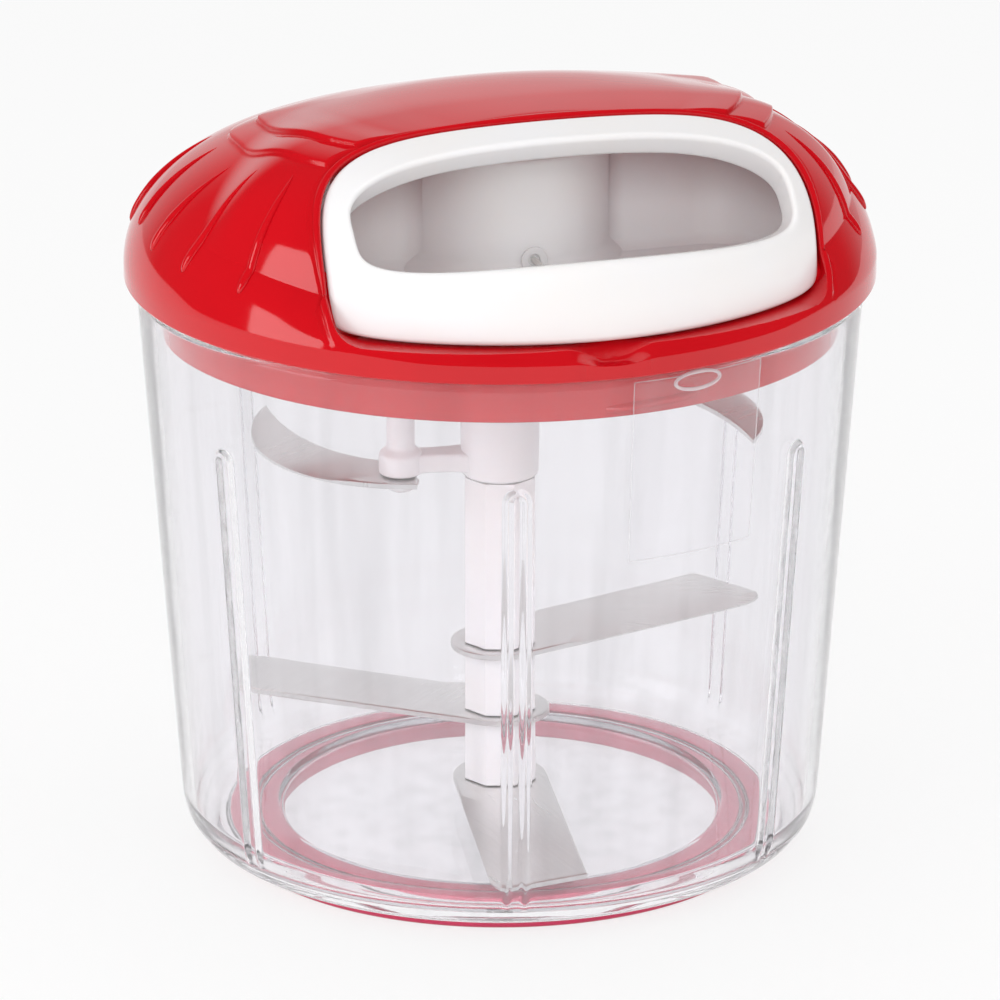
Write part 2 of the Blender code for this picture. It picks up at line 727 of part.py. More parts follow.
def make_lid_base():
    skirt_in = SKIRT_OUTER_R - SKIRT_WALL
    bearing = COUPLING_R + RUN_GAP
    collar_out = bearing + COLLAR_WALL
    profile = [
        (bearing, DECK_BOTTOM_Z),
        (skirt_in, DECK_BOTTOM_Z),
        (skirt_in, SKIRT_BOTTOM_Z + 0.0004),
        (skirt_in + 0.0006, SKIRT_BOTTOM_Z),
        (SKIRT_OUTER_R - 0.0006, SKIRT_BOTTOM_Z),
        (SKIRT_OUTER_R, SKIRT_BOTTOM_Z + 0.0004),
        (SKIRT_OUTER_R, FLANGE_BOTTOM_Z),
        (FLANGE_OUTER_R - 0.0004, FLANGE_BOTTOM_Z),
        (FLANGE_OUTER_R, FLANGE_BOTTOM_Z + 0.0004),
        (FLANGE_OUTER_R, FLANGE_TOP_Z),
        (skirt_in, FLANGE_TOP_Z),
        (skirt_in, DECK_TOP_Z),
        (collar_out, DECK_TOP_Z),
        (collar_out, COLLAR_TOP_Z),
        (bearing, COLLAR_TOP_Z),
    ]
    base = put_object("lid_base", turned(profile, ROUND_BIG), red_plastic)
    added = bmesh.new()
    for angle in LUG_ANGLES:
        join_into(added, lug_solid(angle))
    boss_top = FLANGE_TOP_Z
    for _, x, y in SCREW_PLACES:
        join_into(added, rod(SCREW_BOSS_R, DECK_BOTTOM_Z + 0.0005, boss_top, ROUND_SMALL, x, y))
    add_boolean(base, put_object("lid_base_added_guide", added, None), "UNION")
    holes = bmesh.new()
    for _, x, y in SCREW_PLACES:
        hole_r = SCREW_R + SEAT_GAP
        join_into(holes, rod(hole_r, DECK_BOTTOM_Z - PAST, boss_top + PAST, ROUND_TINY, x, y))
    add_boolean(base, put_object("lid_base_holes_guide", holes, None), "DIFFERENCE")

    screw_top = POCKET_FLOOR_Z - SCREW_COVERED
    head_bottom = DECK_BOTTOM_Z - SEAT_GAP - SCREW_HEAD_HEIGHT
    for name, x, y in SCREW_PLACES:
        screw = [
            (0, head_bottom),
            (SCREW_HEAD_R * 0.7, head_bottom),
            (SCREW_HEAD_R, head_bottom + SCREW_HEAD_HEIGHT * 0.5),
            (SCREW_HEAD_R, DECK_BOTTOM_Z - SEAT_GAP),
            (SCREW_R, DECK_BOTTOM_Z - SEAT_GAP),
            (SCREW_R, screw_top),
            (0, screw_top),
        ]
        put_object(name, turned(screw, ROUND_TINY, x, y), blade_steel)


# Dome cover and handle share these surfaces


def vault_height(x, y, radius, rise):
    """Height of the plain vault above its equator; zero on the rim circle."""
    ring = (x * x + y * y) / (radius * radius)
    vault = (DOME_FALL_FRONT * y * y - DOME_RISE_SIDE * x * x) / (radius * radius)
    fill = ring + (1.0 - ring) * vault
    return rise * max(0.0, 1.0 - fill) ** (1.0 / DOME_POWER)


def front_height(x, y, sink):
    """Height of the handle's own surface above the equator, lowered by a little."""
    ring = min(1.0, math.hypot(x, y) / (HANDLE_R - sink))
    return (HANDLE_HEIGHT - sink) * (1.0 - ring ** HANDLE_POWER) ** (1.0 / HANDLE_POWER)


def dome_height(x, y, radius=DOME_R, rise=DOME_HEIGHT):
    """The vault, filled out in front so that it meets the handle's surface."""
    vault = vault_height(x, y, radius, rise)
    extra = front_height(x, y, DOME_FRONT_SINK + DOME_HEIGHT - rise) - vault
    side = min((x / DOME_FADE_WIDTH) ** 2, 1.4)
    back = DOME_FADE_BACK_Y - DOME_FADE_BACK_BEND * side
    front = DOME_FADE_FRONT_Y - DOME_FADE_FRONT_BEND * side
    share = smooth_share(-y, -back, -front)
    span = max(DOME_BLEND - abs(extra), 0.0)
    return vault + share * (max(extra, 0.0) + span * span / (4.0 * DOME_BLEND))


def handle_front(x, angle):
    """Distance from the handle's fan axis to its front surface, along one fan ray."""
    low = 0.0
    high = 0.12
    for _ in range(40):
        middle = (low + high) / 2
        y = HANDLE_AXIS_Y - middle * math.cos(angle)
        rise = max(0.0, middle * math.sin(angle) + HANDLE_BOTTOM_Z - DOME_EQUATOR_Z)
        ring = math.hypot(x, y) / HANDLE_R
        if ring ** HANDLE_POWER + (rise / HANDLE_HEIGHT) ** HANDLE_POWER < 1.0:
            low = middle
        else:
            high = middle
    return low


def fan_point(x, angle, distance, base_z):
    return (x, HANDLE_AXIS_Y - distance * math.cos(angle), base_z + distance * math.sin(angle))


def signed_power(value, power):
    return math.copysign(abs(value) ** power, value)


def even_outline(shape, count):
    """Spread points evenly along a closed outline of (x, fan angle), the same on both sides of x = 0."""
    fine = 1440
    dense = [shape(math.tau * index / fine) for index in range(fine // 4, fine * 3 // 4 + 1)]
    lengths = [0.0]
    for before, after in zip(dense, dense[1:]):
        step = math.hypot(after[0] - before[0], (after[1] - before[1]) * OUTLINE_SCALE)
        lengths.append(lengths[-1] + step)
    half = count // 2
    left = []
    place = 0
    for index in range(half + 1):
        wanted = lengths[-1] * index / half
        while place < len(lengths) - 2 and lengths[place + 1] < wanted:
            place += 1
        share = (wanted - lengths[place]) / (lengths[place + 1] - lengths[place])
        x = blend(dense[place][0], dense[place + 1][0], share)
        left.append((x, blend(dense[place][1], dense[place + 1][1], share)))
    left[0] = (0.0, left[0][1])
    left[-1] = (0.0, left[-1][1])
    loop = left + [(-x, angle) for x, angle in left[-2:0:-1]]
    quarter = count // 4
    return loop[-quarter:] + loop[:-quarter]


def grown_outline(loop, gap):
    """Move each point of an outline outwards by the gap, measured on the handle's front surface."""
    grown = []
    for index, (x, angle) in enumerate(loop):
        front = handle_front(x, angle)
        before = loop[index - 1]
        after = loop[(index + 1) % len(loop)]
        along = Vector((after[0] - before[0], (after[1] - before[1]) * front)).normalized()
        grown.append((x + along.y * gap, max(0.0, angle - along.x * gap / front)))
    return grown


def handle_shape(turn):
    """Outer D outline as (x, fan angle)."""
    half = HANDLE_HALF_WIDTH
    top = math.radians(HANDLE_TOP_ANGLE)
    shoulder = math.radians(HANDLE_SHOULDER_ANGLE)
    if math.sin(turn) >= 0:
        x = half * signed_power(math.cos(turn), 2 / 6.0)
        angle = shoulder + (top - shoulder) * abs(math.sin(turn)) ** (2 / 2.4)
    else:
        x = half * signed_power(math.cos(turn), 2 / 14.0)
        angle = shoulder * (1.0 - abs(math.sin(turn)) ** (2 / 12.0))
    return x, angle


def window_shape(turn):
    """Inner outline of the grip window as (x, fan angle)."""
    top = math.radians(WINDOW_TOP_ANGLE)
    level = math.radians(WINDOW_SHOULDER_ANGLE)
    if math.sin(turn) >= 0:
        x = WINDOW_HALF_WIDTH * signed_power(math.cos(turn), 2 / 4.0)
        angle = level + (top - level) * abs(math.sin(turn)) ** (2 / 2.6)
    else:
        x = WINDOW_HALF_WIDTH * signed_power(math.cos(turn), 2 / 5.0)
        rise = HANDLE_BAR_TOP_Z - DOME_EQUATOR_Z
        ring = HANDLE_R * (1.0 - (rise / HANDLE_HEIGHT) ** HANDLE_POWER) ** (1 / HANDLE_POWER)
        bottom = math.atan2(HANDLE_BAR_TOP_Z - HANDLE_BOTTOM_Z, HANDLE_AXIS_Y + ring)
        angle = level + (bottom - level) * abs(math.sin(turn)) ** (2 / 5.0)
    return x, angle


def make_handle():
    front = ((0.0, 0.0016), (0.07, 0.0003), (0.5, 0.0), (0.9, 0.0004), (1.0, 0.0020))
    section = front + ((1.0, None), (0.0, None))
    rings = []
    outers = even_outline(handle_shape, HANDLE_STEPS)
    inners = even_outline(window_shape, HANDLE_STEPS)
    for outer, inner in zip(outers, inners):
        ring = []
        for share, depth in section:
            x = blend(outer[0], inner[0], share)
            angle = blend(outer[1], inner[1], share)
            if depth is None:
                arch = smooth_share(angle, math.radians(35), math.radians(75))
                depth = blend(HANDLE_BAR_DEPTH, HANDLE_ARCH_DEPTH, arch)
            ring.append(fan_point(x, angle, handle_front(x, angle) - depth, HANDLE_BOTTOM_Z))
        rings.append(ring)
    handle = put_object("pull_handle", skin(rings, loop=True), white_plastic)
    hole_bottom = BAR_BACK_Y - ANCHOR_LENGTH + ANCHOR_STAND - SEAT_GAP
    hole = rod(ANCHOR_R + SEAT_GAP, 0, BAR_BACK_Y + 0.004 - hole_bottom, 16)
    hole_tool = put_object("anchor_hole_guide", along_y(hole, hole_bottom, CORD_Z), None)
    add_boolean(handle, hole_tool, "DIFFERENCE")
    anchor = [
        (0, 0),
        (ANCHOR_R, 0),
        (ANCHOR_R, ANCHOR_LENGTH - 0.0006),
        (ANCHOR_R - 0.0006, ANCHOR_LENGTH),
        (0, ANCHOR_LENGTH),
    ]
    anchor_start = hole_bottom + SEAT_GAP
    put_object("cord_anchor", along_y(turned(anchor, ROUND_SMALL), anchor_start, CORD_Z), grey_plastic)


def along_y(bm, start_y, centre_z):
    """Lay a turned piece down so that its axis runs along +Y from start_y."""
    for vert in bm.verts:
        x, y, z = vert.co
        vert.co = (x, start_y + z, centre_z - y)
    return bm


def ladder_solid(loops):
    """Solid through matching loops that are mirror images of themselves in x."""
    bm = skin(loops)
    bm.verts.ensure_lookup_table()
    count = len(loops[0])
    quarter = count // 4
    ends = (bm.verts[:count], bm.verts[-count:])
    for loop in ends:
        for index in range(quarter - 1, -quarter, -1):
            left_a = loop[(count // 2 - index) % count]
            left_b = loop[(count // 2 - index + 1) % count]
            right_a = loop[index % count]
            right_b = loop[(index - 1) % count]
            corners = [right_a, left_a, left_b, right_b]
            unique = list(dict.fromkeys(corners))
            bm.faces.new(unique)
        bm.faces.new((loop[quarter], loop[quarter + 1], loop[quarter - 1]))
    return bm


def opening_cutter():
    """The handle's own outline, grown by the gap, as a cutter that fans out from the handle's axis."""
    loops = [[] for _ in range(7)]
    outline = even_outline(handle_shape, HANDLE_STEPS)
    for outer, (x, angle) in zip(outline, grown_outline(outline, HANDLE_GAP)):
        base_z = blend(LEDGE_TOP_Z - SHAVE, HANDLE_BOTTOM_Z, smooth_share(angle, 0.0, 0.25))
        front = handle_front(*outer)
        stations = [FAN_START] + [front + offset for offset in FAN_OFFSETS] + [FAN_END]
        for loop, distance in zip(loops, stations):
            loop.append(fan_point(x, angle, distance, base_z))
    return ladder_solid(loops)


def notch_cutter():
    """Thumb scoop in the ledge below the middle of the bar."""
    steps = 8
    rings = []
    for y in (-DOME_R - 0.004, -LEDGE_INNER_R + 0.004):
        ring = []
        for index in range(steps + 1):
            share = index / steps
            x = (share - 0.5) * NOTCH_WIDTH
            dip = NOTCH_DEPTH * 0.5 * (1 + math.cos(math.tau * (share - 0.5)))
            ring.append((x, y, LEDGE_TOP_Z - dip - 0.00001))
        ring.append((NOTCH_WIDTH / 2, y, LEDGE_TOP_Z + 0.002))
        ring.append((-NOTCH_WIDTH / 2, y, LEDGE_TOP_Z + 0.002))
        rings.append(ring)
    return skin(rings, cap=True)


def inner_reach(cos_a, sin_a, inner_r):
    """Radius at which the inside of the dome comes down to the ledge, in one direction."""
    low = LEDGE_INNER_R + LEDGE_LEAST
    high = inner_r
    for _ in range(30):
        middle = (low + high) / 2
        rise = dome_height(middle * cos_a, middle * sin_a, inner_r, DOME_HEIGHT - DOME_WALL)
        if DOME_EQUATOR_Z + rise > LEDGE_TOP_Z:
            low = middle
        else:
            high = middle
    return low


def make_cover():
    outer_shares = (0.0, 0.2, 0.4, 0.57, 0.71, 0.82, 0.90, 0.955, 0.985, 0.998, 1.0)
    inner_shares = (1.0, 0.985, 0.95, 0.88, 0.77, 0.62, 0.44, 0.22, 0.0)
    inner_r = DOME_R - DOME_WALL
    rings = []
    for step in range(ROUND_BIG):
        angle = math.tau * step / ROUND_BIG
        cos_a = math.cos(angle)
        sin_a = math.sin(angle)
        line = []
        for share in outer_shares:
            x = DOME_R * share * cos_a
            y = DOME_R * share * sin_a
            line.append((x, y, DOME_EQUATOR_Z + dome_height(x, y)))
        lip_in = FLANGE_OUTER_R + SEAT_GAP
        for radius, height in (
            (DOME_R - 0.0001, DOME_RIM_Z + 0.0010),
            (DOME_R - 0.0006, DOME_RIM_Z),
            (lip_in, DOME_RIM_Z),
            (lip_in, LEDGE_BOTTOM_Z),
            (LEDGE_INNER_R, LEDGE_BOTTOM_Z),
            (LEDGE_INNER_R, LEDGE_TOP_Z),
        ):
            line.append((radius * cos_a, radius * sin_a, height))
        reach = inner_reach(cos_a, sin_a, inner_r)
        for share in inner_shares:
            x = reach * share * cos_a
            y = reach * share * sin_a
            rise = dome_height(x, y, inner_r, DOME_HEIGHT - DOME_WALL)
            line.append((x, y, max(LEDGE_TOP_Z, DOME_EQUATOR_Z + rise) if share < 1.0 else LEDGE_TOP_Z))
        rings.append(line)
    cover = put_object("dome_cover", open_strip_loop(rings), red_plastic)
    add_boolean(cover, put_object("handle_opening_guide", opening_cutter(), None), "DIFFERENCE")
    add_boolean(cover, put_object("thumb_notch_guide", notch_cutter(), None), "DIFFERENCE")
    merge = cover.modifiers.new("merge_tiny_edges", "WELD")
    merge.merge_threshold = TINY_EDGE


def open_strip_loop(rings):
    """Join meridians that all start and end on the axis into one closed skin."""
    bm = bmesh.new()
    rows = [[bm.verts.new(point) for point in ring] for ring in rings]
    for row, low in enumerate(rows):
        high = rows[(row + 1) % len(rows)]
        for index in range(len(low) - 1):
            bm.faces.new((low[index], high[index], high[index + 1], low[index + 1]))
    bmesh.ops.remove_doubles(bm, verts=bm.verts, dist=0.000001)
    bmesh.ops.dissolve_degenerate(bm, edges=bm.edges, dist=0.000001)
    return bm


# Mechanism housing


def flank_wall(side):
    """Rear wall of the hand pocket beside the round housing, up to the underside of the cover."""
    start_x = HOUSING_R - 0.0012
    centre_x = FLANK_TURN_X
    centre_y = POCKET_WALL_Y - FLANK_TURN_R
    path = [(start_x, POCKET_WALL_Y), (blend(start_x, centre_x, 0.5), POCKET_WALL_Y)]
    for index in range(5):
        angle = math.radians(90 - index * 20)
        path.append((centre_x + FLANK_TURN_R * math.cos(angle), centre_y + FLANK_TURN_R * math.sin(angle)))
    rings = []
    inner_r = DOME_R - DOME_WALL
    for index, (x, y) in enumerate(path):
        before = Vector(path[max(0, index - 1)])
        after = Vector(path[min(len(path) - 1, index + 1)])
        along = (after - before).normalized()
        back = Vector((-along.y, along.x)) * HOUSING_WALL
        tops = []
        for point in (Vector((x, y)), Vector((x, y)) + back):
            rise = dome_height(point.x, point.y, inner_r, DOME_HEIGHT - DOME_WALL)
            tops.append(DOME_EQUATOR_Z + rise - FLANK_TOP_GAP)
        bottom = POCKET_FLOOR_Z - PAST
        ring = [
            (side * x, y, bottom),
            (side * x, y, tops[0]),
            (side * (x + back.x), y + back.y, tops[1]),
            (side * (x + back.x), y + back.y, bottom),
        ]
        rings.append(ring)
    return skin(rings, cap=True)


def pocket_floor():
    reach = LEDGE_INNER_R - SEAT_GAP
    back_y = POCKET_WALL_Y + HOUSING_WALL
    start = math.asin(-back_y / reach)
    steps = 30
    outline = []
    for index in range(steps + 1):
        angle = math.pi + start + (math.pi - 2 * start) * index / steps
        outline.append((reach * math.cos(angle), reach * math.sin(angle)))
    return plate(outline, FLANGE_TOP_Z + SEAT_GAP, POCKET_FLOOR_Z)


def make_housing():
    inner = HOUSING_R - HOUSING_WALL
    boss_bottom = ROOF_UNDER_Z - AXLE_BOSS_DEPTH
    axle_hole = AXLE_R + SEAT_GAP
    profile = [
        (inner, FLANGE_TOP_Z + SEAT_GAP),
        (HOUSING_R, FLANGE_TOP_Z + SEAT_GAP),
        (HOUSING_R, HOUSING_TOP_Z - 0.0015),
        (HOUSING_R - 0.0015, HOUSING_TOP_Z),
        (0, HOUSING_TOP_Z),
        (0, ROOF_UNDER_Z),
        (axle_hole, ROOF_UNDER_Z),
        (axle_hole, boss_bottom),
        (AXLE_BOSS_R, boss_bottom),
        (AXLE_BOSS_R, ROOF_UNDER_Z),
        (inner, ROOF_UNDER_Z),
    ]
    housing = put_object("mechanism_housing", turned(profile, ROUND_MEDIUM), white_plastic)
    floor = put_object("pocket_floor_guide", pocket_floor(), None)
    well = rod(HOUSING_R - HOUSING_WALL / 2, FLANGE_TOP_Z - PAST, POCKET_FLOOR_Z + PAST, ROUND_MEDIUM)
    add_boolean(floor, put_object("pocket_well_guide", well, None), "DIFFERENCE")
    add_boolean(housing, floor, "UNION")
    for side, label in ((1, "right"), (-1, "left")):
        add_boolean(housing, put_object("flank_guide_" + label, flank_wall(side), None), "UNION")
    holes = bmesh.new()
    for _, x, y in SCREW_PLACES:
        top = POCKET_FLOOR_Z - SCREW_COVERED + SEAT_GAP
        join_into(holes, rod(SCREW_R + SEAT_GAP, FLANGE_TOP_Z - PAST, top, ROUND_TINY, x, y))
    outlet = rod(EYELET_R + SEAT_GAP, 0, 0.0060, ROUND_SMALL)
    join_into(holes, along_y(outlet, -HOUSING_R - 0.003, CORD_Z))
    add_boolean(housing, put_object("housing_holes_guide", holes, None), "DIFFERENCE")

    lip = 0.0007
    length = HOUSING_WALL + 0.0010
    eyelet = [
        (EYELET_BORE_R, 0),
        (EYELET_R + lip, 0),
        (EYELET_R + lip, 0.0006),
        (EYELET_R, 0.0007),
        (EYELET_R, length),
        (EYELET_BORE_R, length),
    ]
    start_y = -HOUSING_R - 0.0006 - SEAT_GAP
    put_object("cord_eyelet", along_y(turned(eyelet, ROUND_SMALL), start_y, CORD_Z), blade_steel)


# Cord drive


def make_axle():
    axle = [
        (0, AXLE_BOTTOM_Z),
        (AXLE_R - 0.0004, AXLE_BOTTOM_Z),
        (AXLE_R, AXLE_BOTTOM_Z + 0.0004),
        (AXLE_R, AXLE_TOP_Z),
        (0, AXLE_TOP_Z),
    ]
    put_object("drum_axle", turned(axle, ROUND_SMALL), blade_steel)


def ratchet_outline():
    """Saw-tooth wheel: each tooth rises along a ramp and drops square."""
    points = []
    for tooth in range(RATCHET_TEETH):
        start = math.tau * tooth / RATCHET_TEETH
        pitch = math.tau / RATCHET_TEETH
        for share, depth in ((0.0, RATCHET_TOOTH), (0.5, RATCHET_TOOTH * 0.5), (0.96, 0.0)):
            angle = start + pitch * share
            radius = RATCHET_R - depth
            points.append((radius * math.cos(angle), radius * math.sin(angle)))
    return points


def make_coupling():
    bore = AXLE_R + RUN_GAP
    body = [
        (0, COUPLING_BOTTOM_Z),
        (COUPLING_R - 0.0004, COUPLING_BOTTOM_Z),
        (COUPLING_R, COUPLING_BOTTOM_Z + 0.0004),
        (COUPLING_R, RATCHET_BOTTOM_Z + 0.0005),
        (0, RATCHET_BOTTOM_Z + 0.0005),
    ]
    coupling = put_object("drive_coupling", turned(body, ROUND_MEDIUM), grey_plastic)
    wheel = plate(ratchet_outline(), RATCHET_BOTTOM_Z, RATCHET_TOP_Z)
    add_boolean(coupling, put_object("ratchet_guide", wheel, None), "UNION")
    socket = plate(polygon(6, hex_hole(RUN_GAP)), COUPLING_BOTTOM_Z - PAST, SOCKET_TOP_Z)
    add_boolean(coupling, put_object("socket_guide", socket, None), "DIFFERENCE")
    bore_tool = rod(bore, AXLE_BOTTOM_Z - RUN_GAP, RATCHET_TOP_Z + PAST)
    add_boolean(coupling, put_object("coupling_bore_guide", bore_tool, None), "DIFFERENCE")


def make_drum():
    bore = AXLE_R + RUN_GAP
    edge = 0.0003
    cup_in = DRUM_FLANGE_R - SPRING_CUP_WALL
    profile = [
        (bore, DRUM_BOTTOM_Z),
        (DRUM_FLANGE_R - edge, DRUM_BOTTOM_Z),
        (DRUM_FLANGE_R, DRUM_BOTTOM_Z + edge),
        (DRUM_FLANGE_R, GROOVE_BOTTOM_Z),
        (DRUM_CORE_R, GROOVE_BOTTOM_Z),
        (DRUM_CORE_R, GROOVE_TOP_Z),
        (DRUM_FLANGE_R, GROOVE_TOP_Z),
        (DRUM_FLANGE_R, CUP_TOP_Z),
        (cup_in, CUP_TOP_Z),
        (cup_in, CUP_BOTTOM_Z),
        (DRUM_HUB_R, CUP_BOTTOM_Z),
        (DRUM_HUB_R, CUP_TOP_Z),
        (bore, CUP_TOP_Z),
    ]
    put_object("cord_drum", turned(profile, ROUND_MEDIUM), grey_plastic)

    cover_top = COVER_BOTTOM_Z + SPRING_COVER
    cover = [
        (bore, COVER_BOTTOM_Z),
        (DRUM_FLANGE_R, COVER_BOTTOM_Z),
        (DRUM_FLANGE_R, cover_top - edge),
        (DRUM_FLANGE_R - edge, cover_top),
        (bore, cover_top),
    ]
    put_object("spring_cover", turned(cover, ROUND_MEDIUM), grey_plastic)


def make_spring():
    """Flat spiral strip between the drum hub and the cup wall."""
    inner = DRUM_HUB_R + SEAT_GAP + SPRING_STRIP / 2
    outer = DRUM_FLANGE_R - SPRING_CUP_WALL - SEAT_GAP - SPRING_STRIP / 2
    bottom = CUP_BOTTOM_Z + SEAT_GAP
    top = CUP_TOP_Z - 0.0006
    steps = SPRING_TURNS * SPRING_STEPS
    rings = []
    for index in range(steps + 1):
        share = index / steps
        angle = math.tau * SPRING_TURNS * share
        radius = blend(inner, outer, share)
        ring = []
        for offset, height in ((-0.5, bottom), (0.5, bottom), (0.5, top), (-0.5, top)):
            reach = radius + offset * SPRING_STRIP
            ring.append((reach * math.cos(angle), reach * math.sin(angle), height))
        rings.append(ring)
    put_object("power_spring", skin(rings, cap=True), blade_steel)


def make_pawls():
    """Two pawls that hang below the drum and drop behind the ratchet teeth."""
    bottom = RATCHET_BOTTOM_Z
    top = RATCHET_TOP_Z
    pivot_r = RATCHET_R + 0.0036
    tip_r = RATCHET_R + 0.0004
    for name, base in (("pawl_front", -90.0), ("pawl_rear", 90.0)):
        points = []
        for angle, radius in (
            (base - 6, pivot_r + 0.0018),
            (base + 4, pivot_r + 0.0016),
            (base + 24, tip_r + 0.0016),
            (base + 32, tip_r + 0.0003),
            (base + 22, tip_r),
            (base + 2, tip_r + 0.0012),
            (base - 7, pivot_r - 0.0014),
        ):
            turn = math.radians(angle)
            points.append((radius * math.cos(turn), radius * math.sin(turn)))
        put_object(name, plate(points, bottom, top), blade_steel)


def cord_tube(name, points):
    """A round cord through points, with filled ends."""
    curve = bpy.data.curves.new(name, "CURVE")
    curve.dimensions = "3D"
    curve.bevel_depth = CORD_R
    curve.bevel_resolution = 1
    curve.use_fill_caps = True
    curve.resolution_u = 1
    curve.render_resolution_u = 0
    spline = curve.splines.new("POLY")
    spline.points.add(len(points) - 1)
    for slot, point in zip(spline.points, points):
        slot.co = (*point, 1.0)
    curve.materials.append(cord_fibre(name + "_finish"))
    item = bpy.data.objects.new(name, curve)
    bpy.context.collection.objects.link(item)
    return item


def make_cord():
    turn_r = DRUM_CORE_R + CORD_R + SEAT_GAP
    count = CORD_TURNS * CORD_STEPS
    start_z = CORD_Z + CORD_TURNS * CORD_PITCH / 2
    end_angle = math.radians(-90) - math.acos(turn_r / (HOUSING_R - HOUSING_WALL))
    wound = []
    for index in range(count + 1):
        angle = end_angle - math.tau * (count - index) / CORD_STEPS
        height = start_z - CORD_TURNS * CORD_PITCH * index / count
        wound.append((turn_r * math.cos(angle), turn_r * math.sin(angle), height))
    cord_tube("cord_winding", wound)
    print("least gap between cord turns {:.5f} m".format(CORD_PITCH - 2 * CORD_R))

    start_y = -HOUSING_R + HOUSING_WALL - RUN_GAP
    end_y = BAR_BACK_Y + ANCHOR_STAND + SEAT_GAP
    steps = 14
    run = []
    for index in range(steps + 1):
        run.append((0.0, blend(start_y, end_y, index / steps), CORD_Z))
    cord_tube("cord_run", run)


def build():
    clear_scene()
    make_bowl()
    make_spindle()
    make_blades()
    make_carrier()
    make_lid_base()
    make_cover()
    make_housing()
    make_handle()
    make_axle()
    make_coupling()
    make_drum()
    make_spring()
    make_pawls()
    make_cord()


build()
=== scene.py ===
# Pull-handle food chopper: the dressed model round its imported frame.
# Frame: origin at the centre of the base, +Z up, the pull handle faces -Y. All sizes in metres.

import math

import bmesh
import bpy
import numpy as np
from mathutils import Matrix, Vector


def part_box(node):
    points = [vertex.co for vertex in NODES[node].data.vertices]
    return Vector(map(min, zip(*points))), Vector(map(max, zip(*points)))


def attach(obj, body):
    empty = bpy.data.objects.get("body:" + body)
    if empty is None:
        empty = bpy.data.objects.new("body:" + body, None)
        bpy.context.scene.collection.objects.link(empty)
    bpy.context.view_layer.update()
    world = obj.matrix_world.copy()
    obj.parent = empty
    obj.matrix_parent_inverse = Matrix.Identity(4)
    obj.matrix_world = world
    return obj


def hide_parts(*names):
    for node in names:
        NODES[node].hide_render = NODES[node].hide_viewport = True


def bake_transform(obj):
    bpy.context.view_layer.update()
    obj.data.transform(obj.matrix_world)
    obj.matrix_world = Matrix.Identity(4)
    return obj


bl_info = {
    "name": "Pull-handle food chopper",
    "version": (1, 0, 0),
    "blender": (4, 5, 0),
    "location": "View3D > Sidebar > Chopper",
    "description": "Builds the clear bowl, red lid, white pull handle and blade unit of a food chopper",
    "category": "Object",
}

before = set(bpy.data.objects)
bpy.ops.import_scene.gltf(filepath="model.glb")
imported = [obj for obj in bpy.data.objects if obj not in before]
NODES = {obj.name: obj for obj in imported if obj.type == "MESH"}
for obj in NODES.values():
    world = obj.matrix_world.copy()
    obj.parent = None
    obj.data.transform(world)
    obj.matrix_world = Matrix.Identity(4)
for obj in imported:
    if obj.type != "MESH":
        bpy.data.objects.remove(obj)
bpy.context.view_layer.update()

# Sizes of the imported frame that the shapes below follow

RIM_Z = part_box("bowl_shell")[1].z
DOME_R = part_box("dome_cover")[1].x
EQUATOR_Z = RIM_Z + 0.0037
DOME_RIM_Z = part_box("dome_cover")[0].z
LEDGE_TOP_Z = RIM_Z + 0.0067
LEDGE_INNER_R = DOME_R - 0.0083
HANDLE_BOTTOM_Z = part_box("pull_handle")[0].z
HANDLE_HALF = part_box("pull_handle")[1].x
HANDLE_R = -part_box("pull_handle")[0].y
BOWL_RIM_R = DOME_R - 0.0025
BOWL_BEND_R = BOWL_RIM_R - 0.0086
BOWL_BEND_Z = 0.0110
FLOOR_UNDER_Z = 0.0048
FLOOR_TOP_Z = FLOOR_UNDER_Z + 0.0020
RING_OUTER_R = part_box("base_ring")[1].x
RING_INNER_R = RING_OUTER_R - 0.0112


# Shader maths


class Wire:
    """One output socket of a material; arithmetic on it adds the nodes."""

    def __init__(self, finish, socket):
        self.finish = finish
        self.socket = socket

    def math(self, operation, *values, clamp=False):
        wires = {index: value for index, value in enumerate(values)}
        settings = {"operation": operation, "use_clamp": clamp}
        return self.finish.node("ShaderNodeMath", settings, wires)

    def __add__(self, other):
        return self.math("ADD", self, other)

    def __radd__(self, other):
        return self.math("ADD", other, self)

    def __sub__(self, other):
        return self.math("SUBTRACT", self, other)

    def __rsub__(self, other):
        return self.math("SUBTRACT", other, self)

    def __mul__(self, other):
        return self.math("MULTIPLY", self, other)

    def __rmul__(self, other):
        return self.math("MULTIPLY", other, self)

    def sine(self):
        return self.math("SINE", self)

    def clamped(self):
        return self.math("ADD", self, 0.0, clamp=True)

    def between(self, low, high, to_low=0.0, to_high=1.0):
        """Map low..high smoothly to to_low..to_high."""
        sockets = {"Value": self, 1: low, 2: high, 3: to_low, 4: to_high}
        settings = {"interpolation_type": "SMOOTHSTEP"}
        return self.finish.node("ShaderNodeMapRange", settings, sockets)


